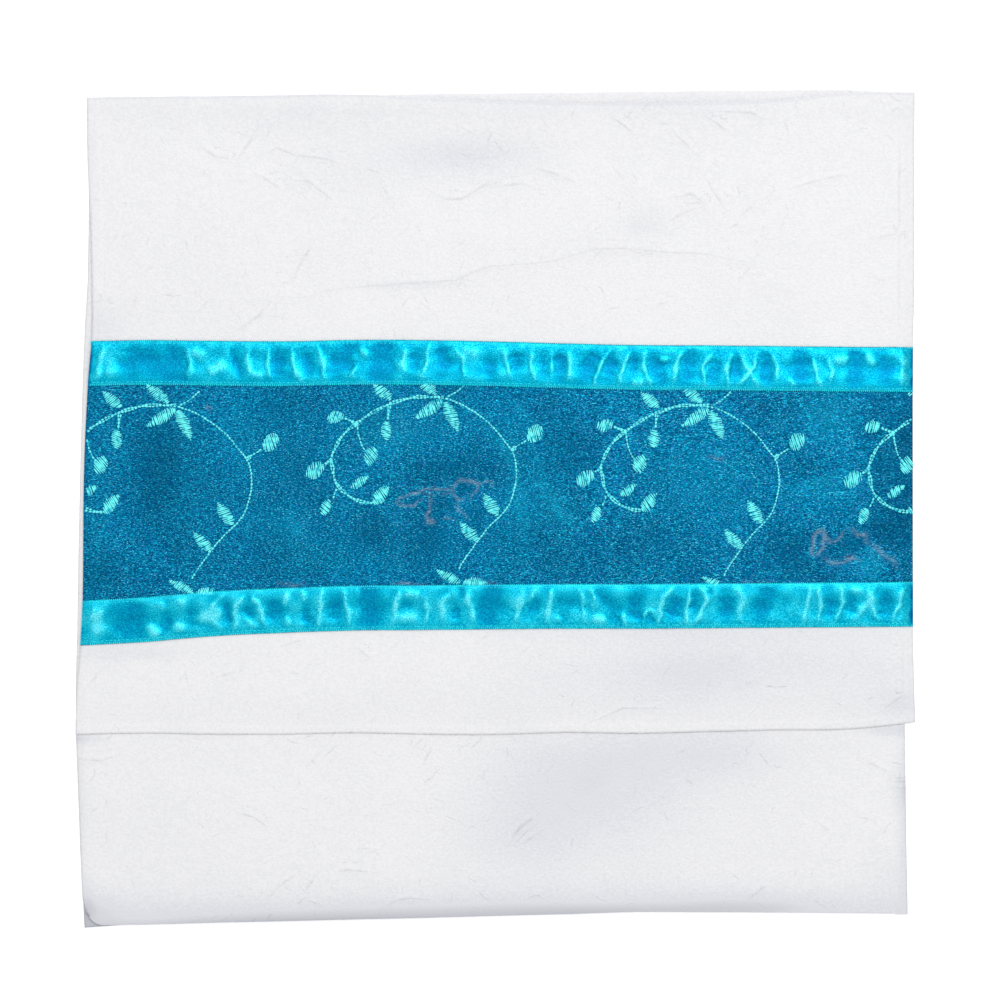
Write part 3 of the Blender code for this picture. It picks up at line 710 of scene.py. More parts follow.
def panel_height(x, y):
    """Outer face of the top stretch: hems and the long crease stand up from the hidden layers."""
    height = stack_height(x, y) + GAP + PANEL_WALL
    from_hem = y - line_y("hem", x)
    height += HEM_RISE * in_hem(SIDE_HEM, from_sides("panel", x, y))
    height += HEM_RISE * in_hem(FRONT_HEM, from_hem)
    off_crease = (y - line_y("crease", x)) / LONG_CREASE_WIDTH
    height += LONG_CREASE_SHARE * line_y("crease_height", x) * np.exp(-off_crease * off_crease)
    height -= END_DROOP * (1 - smooth(from_hem / END_DROOP_REACH))
    from_turn = line_y("fold", x) - TURN_RADIUS - y
    rise = smooth(1 - from_turn / (BACK_RISE - TURN_RADIUS))
    return height + (TURN_TOP - height) * rise


def distance_along(route, x, y):
    """How far each point lies from a route, how far along it, from 0 to 1, and on which side."""
    route = np.array(route, dtype=float)
    lengths = np.hypot(*(route[1:] - route[:-1]).T)
    total = lengths.sum()
    nearest = np.full(np.shape(x), np.inf)
    place = np.zeros(np.shape(x))
    side = np.ones(np.shape(x))
    passed = 0.0
    for start, end, length in zip(route[:-1], route[1:], lengths):
        step = (end - start) / length
        share = np.clip((x - start[0]) * step[0] + (y - start[1]) * step[1], 0, length)
        away = np.hypot(x - start[0] - share * step[0], y - start[1] - share * step[1])
        closer = away < nearest
        nearest = np.where(closer, away, nearest)
        place = np.where(closer, (passed + share) / total, place)
        turn = (x - start[0]) * step[1] - (y - start[1]) * step[0]
        side = np.where(closer, np.where(turn < 0, -1.0, 1.0), side)
        passed += length
    return nearest, place, side


def near_crease(crease, reach, x, y):
    """The points near a crease: which, how far off, on which side, and its fade at both ends."""
    route = np.array(crease.route, dtype=float)
    low, high = route.min(axis=0) - reach, route.max(axis=0) + reach
    near = np.flatnonzero((x > low[0]) & (x < high[0]) & (y > low[1]) & (y < high[1]))
    away, place, side = distance_along(crease.route, x[near], y[near])
    if np.hypot(*(route[-1] - route[0])) > 3 * crease.width:
        fade = np.sqrt(np.clip(np.sin(pi * np.clip(place, 0.02, 0.98)), 0, 1))
        fade *= 1 + CREASE_UNEVENNESS * np.sin(CREASE_BEATS * place + route[0, 0])
    else:
        fade = np.ones(len(near))
    return near, away, side, fade


def add_creases(relief, creases, x, y, share=1.0):
    """Adds each crease to the relief at the points near it: a ridge that fades towards both ends."""
    for crease in creases:
        near, away, _, fade = near_crease(crease, 3 * crease.width, x, y)
        relief[near] += share * crease.height * fade * np.exp(-((away / crease.width) ** 2))


def store_creases(mesh, creases, x, y):
    """Keeps each point's distance to its nearest crease, which stays sharp between points."""
    offset = np.full(len(x), CREASE_REACH)
    strength = np.zeros(len(x))
    for crease in creases:
        if crease.width > SHARP_WIDTH:
            continue
        near, away, side, fade = near_crease(crease, CREASE_REACH, x, y)
        closer = away < np.abs(offset[near])
        at = near[closer]
        offset[at] = (away * side)[closer]
        strength[at] = (abs(crease.height) * fade * smooth(2 - 2 * away / CREASE_REACH))[closer]
    store(mesh, "crease_offset", offset)
    store(mesh, "crease_strength", strength)


def random_crinkles(region):
    """Short bent crinkles strewn over a region of cloth, in a fixed order for its seed."""
    draw = np.random.default_rng(region.seed)
    crinkles = []
    for _ in range(region.count):
        x = draw.uniform(region.left, region.right)
        route = [np.array((x, draw.uniform(region.low, region.high)))]
        heading = draw.uniform(0, 2 * pi)
        for _ in range(draw.integers(*CRINKLE_PIECES)):
            heading += draw.normal(0, CRINKLE_BEND)
            step = draw.uniform(*CRINKLE_STEP)
            route.append(route[-1] + step * np.array((cos(heading), sin(heading))))
        height = draw.uniform(*CRINKLE_HEIGHT) * draw.choice((-1, 1))
        crinkles.append(Crease(height, draw.uniform(*CRINKLE_WIDTH), route))
    return crinkles


def ripple(x, y, seed, reach, count=14):
    """A soft uneven surface from -1 to 1: a few sine waves of about this length, in all directions."""
    draw = np.random.default_rng(seed)
    total = np.zeros(np.shape(x))
    for _ in range(count):
        turn = draw.uniform(0, 2 * pi)
        length = reach * draw.uniform(0.6, 1.6)
        total += np.sin(2 * pi / length * (x * cos(turn) + y * sin(turn)) + draw.uniform(0, 2 * pi))
    return total / count**0.5


def patched(patches, x, y):
    """Tone of each point from soft-edged patches, from -1 to 2."""
    tone = np.zeros(np.shape(x))
    for patch in patches:
        out = np.hypot((x - patch.x) / patch.reach_x, (y - patch.y) / patch.reach_y)
        tone += patch.tone * np.exp(-out * out)
    return np.clip(tone, -1, 2)


def show_through(x, y):
    """1 where the cloth of the top stretch shows, 0 under the band and ribbons."""
    below = line_y("lower_ribbon", x) - RIBBON_WIDTH / 2
    above = line_y("upper_ribbon", x) + RIBBON_WIDTH / 2
    inside = np.minimum(y - below, above - y)
    return 1 - smooth((inside + SHOWN_REACH) / SHOWN_RAMP)


def cloth_relief(x, y, seed, charted, regions):
    """Ripples, charted creases and strewn crinkles of the white cloth."""
    relief = np.zeros(len(x))
    for more, (height, reach) in enumerate((BROAD_RIPPLE, FINE_RIPPLE)):
        relief += height * ripple(x, y, seed + more, reach)
    add_creases(relief, charted, x, y, CREASE_SHARE)
    for region in regions:
        add_creases(relief, random_crinkles(region), x, y)
    return relief


def lowest_height(x, y, cloth):
    """Middle of the lowest stretch, of this thickness, just off the floor."""
    return 0.5 * cloth + FLOOR_AIR + FLOOR_RIPPLE * ripple(x, y, 51, HIDDEN_REACH)


def second_height(x, y, cloth):
    """Middle of the second stretch from below, for cloth of any thickness."""
    return LAYER + SECOND_RISE + SECOND_RIPPLE * ripple(x, y, 52, HIDDEN_REACH)


def third_height(x, y, cloth):
    """Middle of the third stretch, which shows in front of the top one and has its creases there."""
    relief = cloth_relief(x, y, 33, FRONT_CREASES, FRONT_CRINKLES)
    relief *= smooth((y - line_y("stack_front", x)) / EDGE_FADE)
    relief *= smooth(from_sides("stack", x, y) / SIDE_FADE + 0.2)
    return rolled_height(x, y) - cloth / 2 + relief * smooth((SHOWN_BACK - y) / EDGE_FADE)


def top_surface(x, y):
    """Outer face of the top stretch with its creases, crinkles and ripples."""
    return panel_height(x, y) + cloth_relief(x, y, 31, TOP_CREASES, TOP_CRINKLES) * show_through(x, y)


def band_surface(x, y):
    """Outer face of the organza band."""
    return panel_height(x, y) + BAND_LIFT


def columns_at(pitch):
    """How many columns of points cross the shawl at this pitch in millimetres."""
    return int(2 * HALF_WIDTH / pitch) + 1


def sheet_mesh(name, columns, rows, place):
    """A grid of points, each put in millimetres where place(column, row) says, as a smooth mesh."""
    bm = bmesh.new()
    bm.loops.layers.uv.new("UVMap")
    bmesh.ops.create_grid(bm, x_segments=columns - 1, y_segments=rows - 1, size=1.0, calc_uvs=True)
    mesh = bpy.data.meshes.new(name)
    bm.to_mesh(mesh)
    bm.free()
    unit = np.empty(len(mesh.vertices) * 3)
    mesh.vertices.foreach_get("co", unit)
    unit = unit.reshape(-1, 3)
    column = np.rint((unit[:, 0] + 1) / 2 * (columns - 1)).astype(int)
    row = np.rint((unit[:, 1] + 1) / 2 * (rows - 1)).astype(int)
    points = np.stack(place(column, row), axis=1)
    mesh.vertices.foreach_set("co", (points * MM).ravel())
    mesh.update()
    mesh.shade_smooth()
    return mesh


def points_of(mesh):
    """A mesh's points in millimetres."""
    points = np.empty(len(mesh.vertices) * 3)
    mesh.vertices.foreach_get("co", points)
    return points.reshape(-1, 3) / MM


def store(mesh, name, values):
    """Keeps a number for each point of the mesh, for its material to read."""
    attribute = mesh.attributes.new(name, "FLOAT", "POINT")
    attribute.data.foreach_set("value", values)


def add_piece(name, mesh, material, nodes=()):
    """Puts a mesh in the scene as a piece that rides on the shawl and stands for CAD nodes."""
    mesh.materials.clear()
    mesh.materials.append(material)
    piece = bpy.data.objects.new(name, mesh)
    bpy.context.scene.collection.objects.link(piece)
    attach(piece, "root")
    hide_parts(*nodes)
    return piece


def give_thickness(piece, thickness, offset, cloth_share=None, hem=None):
    """Gives a sheet its thickness in metres, or where hem is 0, only cloth_share of it."""
    wall = piece.modifiers.new("thickness", "SOLIDIFY")
    wall.thickness = thickness
    wall.offset = offset
    wall.use_even_offset = False
    if hem is not None:
        group = piece.vertex_groups.new(name="hem")
        for index in np.flatnonzero(hem > 0.01):
            group.add([int(index)], float(hem[index]), "REPLACE")
        wall.vertex_group = "hem"
        wall.thickness_vertex_group = cloth_share


def rows_between(stops):
    """Rows as (shares of the lines, offset), between stops of (line, offset, steps from the last)."""
    rows = []
    before = stops[0]
    for stop in stops:
        for step in range(1, stop[2] + 1):
            share = step / stop[2]
            lines = {before[0]: 1 - share}
            lines[stop[0]] = lines.get(stop[0], 0.0) + share
            rows.append((lines, before[1] * (1 - share) + stop[1] * share))
        before = stop
    return rows


def rows_y(rows, row, x):
    """Y of the points on these rows at these X."""
    y = np.array([offset for _, offset in rows])[row]
    for line in {line for lines, _ in rows for line in lines}:
        shares = np.array([lines.get(line, 0.0) for lines, _ in rows])[row]
        y = y + shares * line_y(line, x)
    return y


def settled(cloth, columns, column, rows, row):
    """X and Y of points whose column runs along the cloth's side edges and whose row its lines."""
    share = column / (columns - 1)

    def column_x(y):
        left, right = edge_x(cloth + "_left", y), edge_x(cloth + "_right", y)
        return left + share * (right - left)

    x = column_x(np.zeros(len(share)))
    for _ in range(SETTLING):
        y = rows_y(rows, row, x)
        x = column_x(y)
    return x, y


def layer_rows(pitch):
    """Rows of the three hidden stretches, from the free end under the front and up."""
    bottom = rows_between((
        ("stack_end", 0, 1), ("stack_end", 1.5, 1), ("stack_end", 4, 1), ("stack_end", 8, 2),
        ("stack_back", -12, 24), ("stack_back", -NOSE, 4),
    ))
    middle = rows_between((
        ("stack_back", -NOSE, 1), ("stack_back", -10, 3),
        ("stack_front", 10, 20), ("stack_front", NOSE, 4),
    ))
    top = rows_between((
        ("stack_front", NOSE, 1), ("stack_front", 2, 2),
        ("stack_front", SHOWN_DEPTH, int(SHOWN_DEPTH / pitch)),
        ("return_end", -10, 12), ("return_end", 0, 3),
    ))
    return bottom, middle, top


def round_corner(x, y, where):
    """Rounds the front left corner, by moving those of the points that are picked by where."""
    left, front = edge_x("stack_left", y), line_y("stack_front", x)
    from_x, from_y = 1 - (x - left) / CORNER_X, 1 - (y - front) / CORNER_Y
    near = (from_x > 0) & (from_y > 0) & where
    pull = np.maximum(from_x, from_y)[near] / np.hypot(from_x, from_y)[near]
    x[near] = (left + CORNER_X)[near] - (CORNER_X * from_x)[near] * pull
    y[near] = (front + CORNER_Y)[near] - (CORNER_Y * from_y)[near] * pull


def new_material(name, colour, roughness, values):
    """A material on a Principled shader, with constant values set on the shader's own sockets."""
    material = bpy.data.materials.new(name)
    material.use_nodes = True
    shader = material.node_tree.nodes["Principled BSDF"]
    shader.inputs["Base Color"].default_value = (*colour, 1.0)
    shader.inputs["Roughness"].default_value = roughness
    for key, value in values.items():
        shader.inputs[key].default_value = value
    return material


class Nodes:
    """Short calls that add nodes to a material and link them."""

    def __init__(self, material):
        self.material = material
        self.tree = material.node_tree
        self.shader = self.tree.nodes["Principled BSDF"]
        self.place = self.tree.nodes.new("ShaderNodeTexCoord").outputs["Object"]

    def feed(self, socket, value):
        """Links another node's output to a socket, or sets the socket to a number or a colour."""
        if isinstance(value, bpy.types.NodeSocket):
            self.tree.links.new(value, socket)
        elif socket.type == "RGBA":
            socket.default_value = (*value, 1.0)
        else:
            socket.default_value = value

    def add(self, kind, settings=None, **inputs):
        """A node of this kind with its settings, its inputs fed by name."""
        node = self.tree.nodes.new("ShaderNode" + kind)
        for key, value in (settings or {}).items():
            setattr(node, key, value)
        for key, value in inputs.items():
            self.feed(node.inputs[key], value)
        return node

    def noise(self, scale, detail, distortion=0.0):
        """Noise with so many cells to a metre: one number, or one for each axis."""
        vector = self.place
        if isinstance(scale, tuple):
            vector, scale = self.add("Mapping", Vector=self.place, Scale=scale).outputs["Vector"], 1.0
        node = self.add("TexNoise", Vector=vector, Scale=scale, Detail=detail, Distortion=distortion)
        return node.outputs["Fac"]

    def strokes(self, scale, length, width):
        """Short bent strokes strewn over the XY plane, one to a cell, each turned its own way."""
        cells = self.add("TexVoronoi", {"voronoi_dimensions": "2D"}, Vector=self.place, Scale=scale)
        chance = self.add("SeparateColor", Color=cells.outputs["Color"])
        local = self.add("VectorMath", {"operation": "SUBTRACT"})
        for socket, value in zip(local.inputs, (self.place, cells.outputs["Position"])):
            self.feed(socket, value)
        turned = self.add(
            "VectorRotate", {"rotation_type": "Z_AXIS"}, Vector=local.outputs["Vector"],
            Angle=self.maths("MULTIPLY", chance.outputs["Red"], 2 * pi),
        )
        place = self.add("SeparateXYZ", Vector=turned.outputs["Vector"])
        along, across = place.outputs["X"], place.outputs["Y"]
        bend = self.between(chance.outputs["Green"], 0.0, 1.0, -60.0, 60.0)
        bow = self.maths("MULTIPLY", self.maths("MULTIPLY", along, along), bend)
        uneven = self.between(self.noise(300, 1.0), 0.3, 0.7, -0.6 * width, 0.6 * width)
        across = self.maths("ADD", self.maths("ADD", across, bow), uneven)
        line = self.between(self.maths("ABSOLUTE", across), width, 0.0)
        ends = self.between(self.maths("ABSOLUTE", along), length, 0.4 * length)
        share = self.between(chance.outputs["Blue"], 0.3, 1.0)
        return self.maths("MULTIPLY", self.maths("MULTIPLY", line, ends), share)

    def between(self, value, low, high, out_low=0.0, out_high=1.0):
        """A value between low and high spread over the output range, and clamped to it."""
        node = self.add("MapRange", {"clamp": True}, Value=value)
        limits = {"From Min": low, "From Max": high, "To Min": out_low, "To Max": out_high}
        for key, number in limits.items():
            node.inputs[key].default_value = number
        return node.outputs["Result"]

    def maths(self, operation, first, second=0.0):
        """The result of a sum with one or two values."""
        node = self.add("Math", {"operation": operation})
        for socket, value in zip(node.inputs, (first, second)):
            self.feed(socket, value)
        return node.outputs[0]

    def mix(self, factor, first, second):
        """A colour between the first, at factor 0, and the second."""
        node = self.add("Mix", {"data_type": "RGBA"})
        for socket, value in ((0, factor), (6, first), (7, second)):
            self.feed(node.inputs[socket], value)
        return node.outputs[2]

    def attribute(self, name):
        """The number that store kept for each point."""
        return self.add("Attribute", {"attribute_name": name}).outputs["Fac"]

    def bump(self, height, distance, strength, normal=None):
        """Relief so many metres deep in the shading, on top of another normal if one is given."""
        node = self.add("Bump", Height=height, Distance=distance, Strength=strength)
        if normal is not None:
            self.feed(node.inputs["Normal"], normal)
        return node.outputs["Normal"]

    def into(self, socket, value):
        """Feeds one of the shader's sockets by its name."""
        self.feed(self.shader.inputs[socket], value)


def crinkled_satin(name, settings, crush):
    """White satin with a crinkled finish: crepe grain, sharp short creases and a soft sheen, with
    painted shade along the creases, in the shaded patches and, greyer, where an edge turns under.
    """
    sheen = {"Sheen Weight": 0.12, "Sheen Roughness": 0.4, "Specular IOR Level": 0.4}
    nodes = Nodes(new_material(name, settings.colour, 0.42, sheen))
    grain = nodes.noise(780, 3.0)
    weave = nodes.noise((260, 1500, 600), 1.0)
    crepe = nodes.noise(420, 2.0, 1.2)
    line = nodes.between(nodes.maths("ABSOLUTE", nodes.attribute("crease_offset")), SHARP_LINE, 0.0)
    charted = nodes.maths("MULTIPLY", line, nodes.attribute("crease_strength"))
    strewn = nodes.maths("ADD", nodes.strokes(60, 0.0066, 0.0006), nodes.strokes(110, 0.0036, 0.0005))
    strewn = nodes.maths("MULTIPLY", strewn, nodes.between(nodes.noise(24, 2.0), 0.36, 0.6, 0.1, 1.0))
    creases = nodes.maths("ADD", nodes.maths("MULTIPLY", strewn, crush), charted)
    # The tone attribute is painted shade: bluish in the shaded patches, and over 1 grey where an edge
    # turns under
    tone = nodes.attribute("tone")
    tint = nodes.maths("ADD", nodes.between(nodes.noise(14, 3.0), 0.35, 0.65, 0.0, 0.15), tone)
    # Creases also darken the colour: painted shade along them
    tint = nodes.maths("ADD", tint, nodes.maths("MULTIPLY", creases, 0.5))
    tint = nodes.maths("ADD", tint, nodes.between(nodes.noise(560, 1.0), 0.36, 0.64, -0.10, 0.26))
    base = nodes.mix(nodes.between(tint, 0.0, 1.0), settings.colour, settings.shade)
    nodes.into("Base Color", nodes.mix(nodes.between(tone, 1.0, 2.0), base, settings.edge_shade_grey))
    nodes.into("Roughness", nodes.between(grain, 0.3, 0.7, 0.34, 0.55))
    fine = nodes.bump(grain, 0.0006, 0.42)
    fine = nodes.bump(weave, 0.0002, 0.4, fine)
    fine = nodes.bump(crepe, 0.0007, 0.30, fine)
    nodes.into("Normal", nodes.bump(creases, 0.0009, 0.7, fine))
    return nodes.material


def shot_organza(name, settings):
    """Dark teal shot organza: grain with painted sparkle, soft patches, painted sheen in soft ripples
    and streaks, and pinkish interference lines.
    """
    dark, light = settings.dark, settings.light
    matt = {"Metallic": 0.35, "Specular IOR Level": 0.0}
    nodes = Nodes(new_material(name, settings.colour, 0.5, matt))
    patches = nodes.between(nodes.noise(38, 3.0), 0.36, 0.66, 0.0, 0.5)
    ripples = nodes.between(nodes.noise((42, 6, 6), 2.0), 0.35, 0.7, 0.0, 0.08)
    grain = nodes.noise((760, 2300, 1200), 1.0, 0.5)
    blue = nodes.between(nodes.noise((900, 1500, 1100), 1.0), 0.6, 0.68, 0.0, 0.6)
    sparkle = nodes.between(nodes.noise((950, 2200, 1600), 1.0), 0.655, 0.72, 0.0, 0.95)
    tone = nodes.attribute("tone")
    fringe = nodes.between(grain, 0.40, 0.56, 0.3, 0.85)
    lines = nodes.maths("MULTIPLY", nodes.attribute("moire"), fringe)
    base = settings.colour
    # The ripples and the tone's light streaks are painted sheen, and the sparkle is painted glints
    for factor, colour in (
        (patches, dark),
        (ripples, light),
        (nodes.between(grain, 0.49, 0.36), dark),
        (nodes.between(grain, 0.58, 0.73), light),
        (blue, BLUE_SPECK),
        (sparkle, SPARKLE),
        (nodes.between(tone, 0.0, 1.0, 0.0, 0.14), light),
        (nodes.between(tone, 0.0, -1.0, 0.0, 0.48), dark),
        (lines, settings.moire),
    ):
        base = nodes.mix(factor, base, colour)
    nodes.into("Base Color", base)
    nodes.into("Roughness", nodes.between(grain, 0.35, 0.65, 0.5, 0.32))
    nodes.into("Normal", nodes.bump(grain, 0.0004, 0.6))
    return nodes.material


def ribbon_satin(name, settings):
    """Glossy turquoise satin, woven lengthwise, with painted highlights on ridges, painted shade in
    hollows and on its turned ends, and a thin painted shadow at its edges.
    """
    gloss = {"Metallic": 0.6, "Specular IOR Level": 0.3, "Specular Tint": SATIN_TINT}
    nodes = Nodes(new_material(name, settings.colour, 0.38, gloss))
    place = nodes.add("SeparateXYZ", Vector=nodes.add("UVMap", {"uv_map": "UVMap"}).outputs["UV"])
    from_edge = nodes.maths("ABSOLUTE", nodes.maths("SUBTRACT", place.outputs["Y"], 0.5))
    grain = nodes.noise((1300, 1700, 900), 2.0)
    gleam = nodes.attribute("gleam")
    shine = nodes.maths("ADD", gleam, nodes.between(grain, 0.32, 0.68, -0.72, 0.72))
    base = settings.colour
    # Painted shade in the hollows and painted highlights on the ridges, whitest at their crests; a
    # lighter strip inside each edge and a thin painted shadow at the very edge; deep painted shade on
    # the turned ends
    for factor, colour in (
        (nodes.between(shine, 0.1, -1.0), settings.hollow),
        (nodes.between(shine, 0.1, 1.1), settings.edge),
        (nodes.between(shine, 0.8, 1.6), GLINT),
        (nodes.between(from_edge, 0.42, 0.46, 0.0, 0.12), settings.edge),
        (nodes.between(from_edge, 0.486, 0.494, 0.0, 0.3), settings.hollow),
        (nodes.between(gleam, -1.05, -1.5), settings.end),
    ):
        base = nodes.mix(factor, base, colour)
    nodes.into("Base Color", base)
    nodes.into("Normal", nodes.bump(grain, 0.00014, 0.5))
    return nodes.material


def embroidery_thread(name, colour, shade):
    """Shiny rayon thread, a little uneven in tone from stitch to stitch."""
    shine = {"Specular IOR Level": 0.2, "Specular Tint": THREAD_TINT}
    nodes = Nodes(new_material(name, colour, 0.4, shine))
    tone = nodes.between(nodes.noise(520, 1.0), 0.49, 0.74)
    nodes.into("Base Color", nodes.mix(tone, colour, shade))
    nodes.into("Normal", nodes.bump(nodes.noise(2600, 1.0), 0.00008, 0.6))
    return nodes.material


def threads_mesh(name, threads, thickness):
    """Stitches as one mesh. Each is a short tube along its points, in millimetres, thin at its ends."""
    curve = bpy.data.curves.new(name, "CURVE")
    curve.dimensions = "3D"
    curve.bevel_depth = thickness / 2
    curve.bevel_resolution = 1
    curve.use_fill_caps = True
    draw = np.random.default_rng(len(threads))
    for points in threads:
        spline = curve.splines.new("POLY")
        spline.points.add(len(points) - 1)
        flat = np.ones((len(points), 4))
        flat[:, :3] = np.array(points) * MM
        spline.points.foreach_set("co", flat.ravel())
        swell = np.full(len(points), draw.uniform(*THREAD_SWELL))
        swell[[0, -1]] *= THREAD_END
        spline.points.foreach_set("radius", swell)
    holder = bpy.data.objects.new(name, curve)
    bpy.context.scene.collection.objects.link(holder)
    graph = bpy.context.evaluated_depsgraph_get()
    mesh = bpy.data.meshes.new_from_object(holder.evaluated_get(graph))
    bpy.data.objects.remove(holder)
    bpy.data.curves.remove(curve)
    mesh.name = name
    mesh.shade_smooth()
    return mesh


def evenly_along(route, pitch):
    """Points every pitch along a smooth curve through a route."""
    route = np.array(route, dtype=float)
    padded = np.vstack((2 * route[0] - route[1], route, 2 * route[-1] - route[-2]))
    fine = []
    for index in range(1, len(padded) - 2):
        a, b, c, d = padded[index - 1 : index + 3]
        for t in np.linspace(0, 1, 8, endpoint=False):
            fine.append(
                0.5 * (2 * b + (c - a) * t + (2 * a - 5 * b + 4 * c - d) * t**2
                       + (3 * b - a - 3 * c + d) * t**3)
            )
    fine.append(route[-1])
    fine = np.array(fine)
    passed = np.concatenate(([0], np.cumsum(np.hypot(*(fine[1:] - fine[:-1]).T))))
    count = max(int(round(passed[-1] / pitch)), 1)
    at = np.linspace(0, passed[-1], count + 1)
    return np.stack((np.interp(at, passed, fine[:, 0]), np.interp(at, passed, fine[:, 1])), axis=1)


def on_sprig(sprig, places):
    """Charted places of a sprig as X and Y on the shawl."""
    return np.array(places) * (sprig.stretch_x, sprig.stretch_y) + (sprig.x, sprig.y)


def stem_stitches(route, rows, draw):
    """Back stitches along a stem, in one row or in two side by side."""
    points = evenly_along(route, STITCH_LENGTH)
    heading = np.gradient(points, axis=0)
    heading /= np.maximum(np.hypot(*heading.T), 1e-6)[:, None]
    sideways = np.stack((-heading[:, 1], heading[:, 0]), axis=1)
    stitches = []
    for side in ((0.0,) if rows == 1 else (-1.0, 1.0)):
        crossing = np.cos(np.arange(len(points)) * ROW_BEAT + 0.4)[:, None]
        line = points + sideways * side * (ROW_GAP + ROW_SWING * crossing)
        for start, end in zip(line[:-1], line[1:]):
            start = start + draw.normal(0, STEM_JITTER, 2)
            end = end + (start - end) * STITCH_GAP + draw.normal(0, STEM_JITTER, 2)
            stitches.append((start, (start + end) / 2, end))
    return stitches


def leaf_stitches(base, tip, width, is_round, draw):
    """Satin stitches across a leaf or bud, slanted a little towards its tip."""
    axis = tip - base
    length = np.hypot(*axis)
    axis = axis / length
    side = np.array((-axis[1], axis[0]))
    count = int(round(length / SATIN_PITCH))
    stitches = []
    for index in range(count):
        share = (index + 0.5) / count
        if is_round:
            half = width / 2 * (1 - (2 * share - 1) ** 2) ** 0.5
        else:
            half = width / 2 * sin(pi * share**0.8) ** 0.75
        half = max(half, SHORTEST_HALF)
        middle = base + axis * (length * share + draw.normal(0, LEAF_JITTER))
        slant = axis * draw.normal(*LEAF_SLANT) * half
        left = middle - side * (half + draw.normal(0, END_JITTER)) - slant
        right = middle + side * (half + draw.normal(0, END_JITTER)) + slant
        stitches.append((left, middle, right))
    return stitches


def shows_on_band(stitch):
    """Whether a stitch lies on the part of the band that shows, or just under a ribbon's edge."""
    x, y = stitch[1]
    low = line_y("lower_ribbon", x) + RIBBON_WIDTH / 2 - UNDER_RIBBON
    high = line_y("upper_ribbon", x) - RIBBON_WIDTH / 2 + UNDER_RIBBON
    return low < y < high and from_sides("panel", x, y) > BAND_MARGIN


def raised(stitches, lift, arch):
    """Stitches laid on the organza in three dimensions, each arched up in its middle."""
    flat = np.array(stitches)
    z = band_surface(flat[:, :, 0], flat[:, :, 1]) + lift
    z[:, 1] += arch
    return np.concatenate((flat, z[:, :, None]), axis=2)


def gleam_at(puckers, x, across):
    """Painted highlight and shade at places on a ribbon, which also set how far its puckers rise: 1 on a
    ridge, -1 in a hollow.
    """
    across = across + np.zeros(np.shape(x))
    gleam = GLEAM_RIPPLE[0] * ripple(x, across, puckers.seed, GLEAM_RIPPLE[1])
    wander = GLEAM_WANDER[0] * ripple(x, across, puckers.seed + 3, GLEAM_WANDER[1])
    add_creases(gleam, puckers.gleams, x + wander, across)
    return np.tanh(GLEAM_CONTRAST * gleam) + np.minimum(gleam + END_GLEAM, 0)


def ribbon_lift(gleam, height, inner, across):
    """How far a ribbon's outer face stands off the cloth, by the distance from its middle."""
    half = RIBBON_WIDTH / 2
    free = np.clip((1 - np.abs(across / half)) / EDGE_SHARE, 0, 1) ** 0.8
    over_band = smooth((across * inner - (half - SEAM_OVERLAP - OVER_BAND_RAMP)) / OVER_BAND_RAMP)
    spare = RIBBON_LIFT + (PUCKER_RISE + height * gleam) * free - RIBBON_REST
    lift = RIBBON_REST + (spare + np.hypot(spare, REST_SOFTNESS)) / 2
    return lift + over_band * (BAND_LIFT - BAND_PRESS)


def ribbon_point(puckers, height, line, inner, x, across):
    """Y and Z of a place on a ribbon's outer face."""
    y = line_y(line, x) + across
    gleam = gleam_at(puckers, x, across) * smooth(from_sides("panel", x, y) / FLAT_END)
    return y, panel_height(x, y) + ribbon_lift(gleam, height, inner, across)


def length_setting(name, description, metres):
    """A length among the settings of the add-on."""
    return FloatProperty(name=name, description=description, default=metres, unit="LENGTH")


def colour_setting(name, description, colour):
    """A colour among the settings of the add-on."""
    return FloatVectorProperty(name=name, description=description, default=colour, subtype="COLOR")


class ShawlClothSettings(bpy.types.PropertyGroup):
    """Sizes and colours of the white cloth."""

    pitch: length_setting("Pitch", "Spacing of the cloth's points", 0.0016)
    thickness: length_setting("Thickness", "Thickness of the cloth", 0.0005)
    hem_thickness: length_setting("Hem thickness", "Thickness of the turned hems", 0.0012)
    colour: colour_setting("Colour", "White of the cloth", (0.835, 0.83, 0.84))
    # Shade is painted shade along the creases and in the shaded patches, and is also mixed in at random
    # as the cloth's own uneven white; edge grey is painted shade where an edge turns under
    shade: colour_setting("Shade", "Bluish white between the crinkles", (0.71, 0.715, 0.75))
    edge_shade_grey: colour_setting("Edge grey", "Grey where an edge turns under", (0.36, 0.37, 0.42))


class BandSettings(bpy.types.PropertyGroup):
    """Sizes and colours of the organza band."""

    pitch: length_setting("Pitch", "Spacing of the organza's points", 0.00118)
    thickness: length_setting("Thickness", "Thickness of the organza", 0.00025)
    colour: colour_setting("Colour", "Main teal", (0.0, 0.145, 0.315))
    dark: colour_setting("Dark", "Teal of the shadows", (0.0, 0.05, 0.122))
    light: colour_setting("Light", "Teal of the sparkle", (0.01, 0.56, 0.78))
    moire: colour_setting("Interference", "Pinkish interference lines", (0.20, 0.28, 0.38))


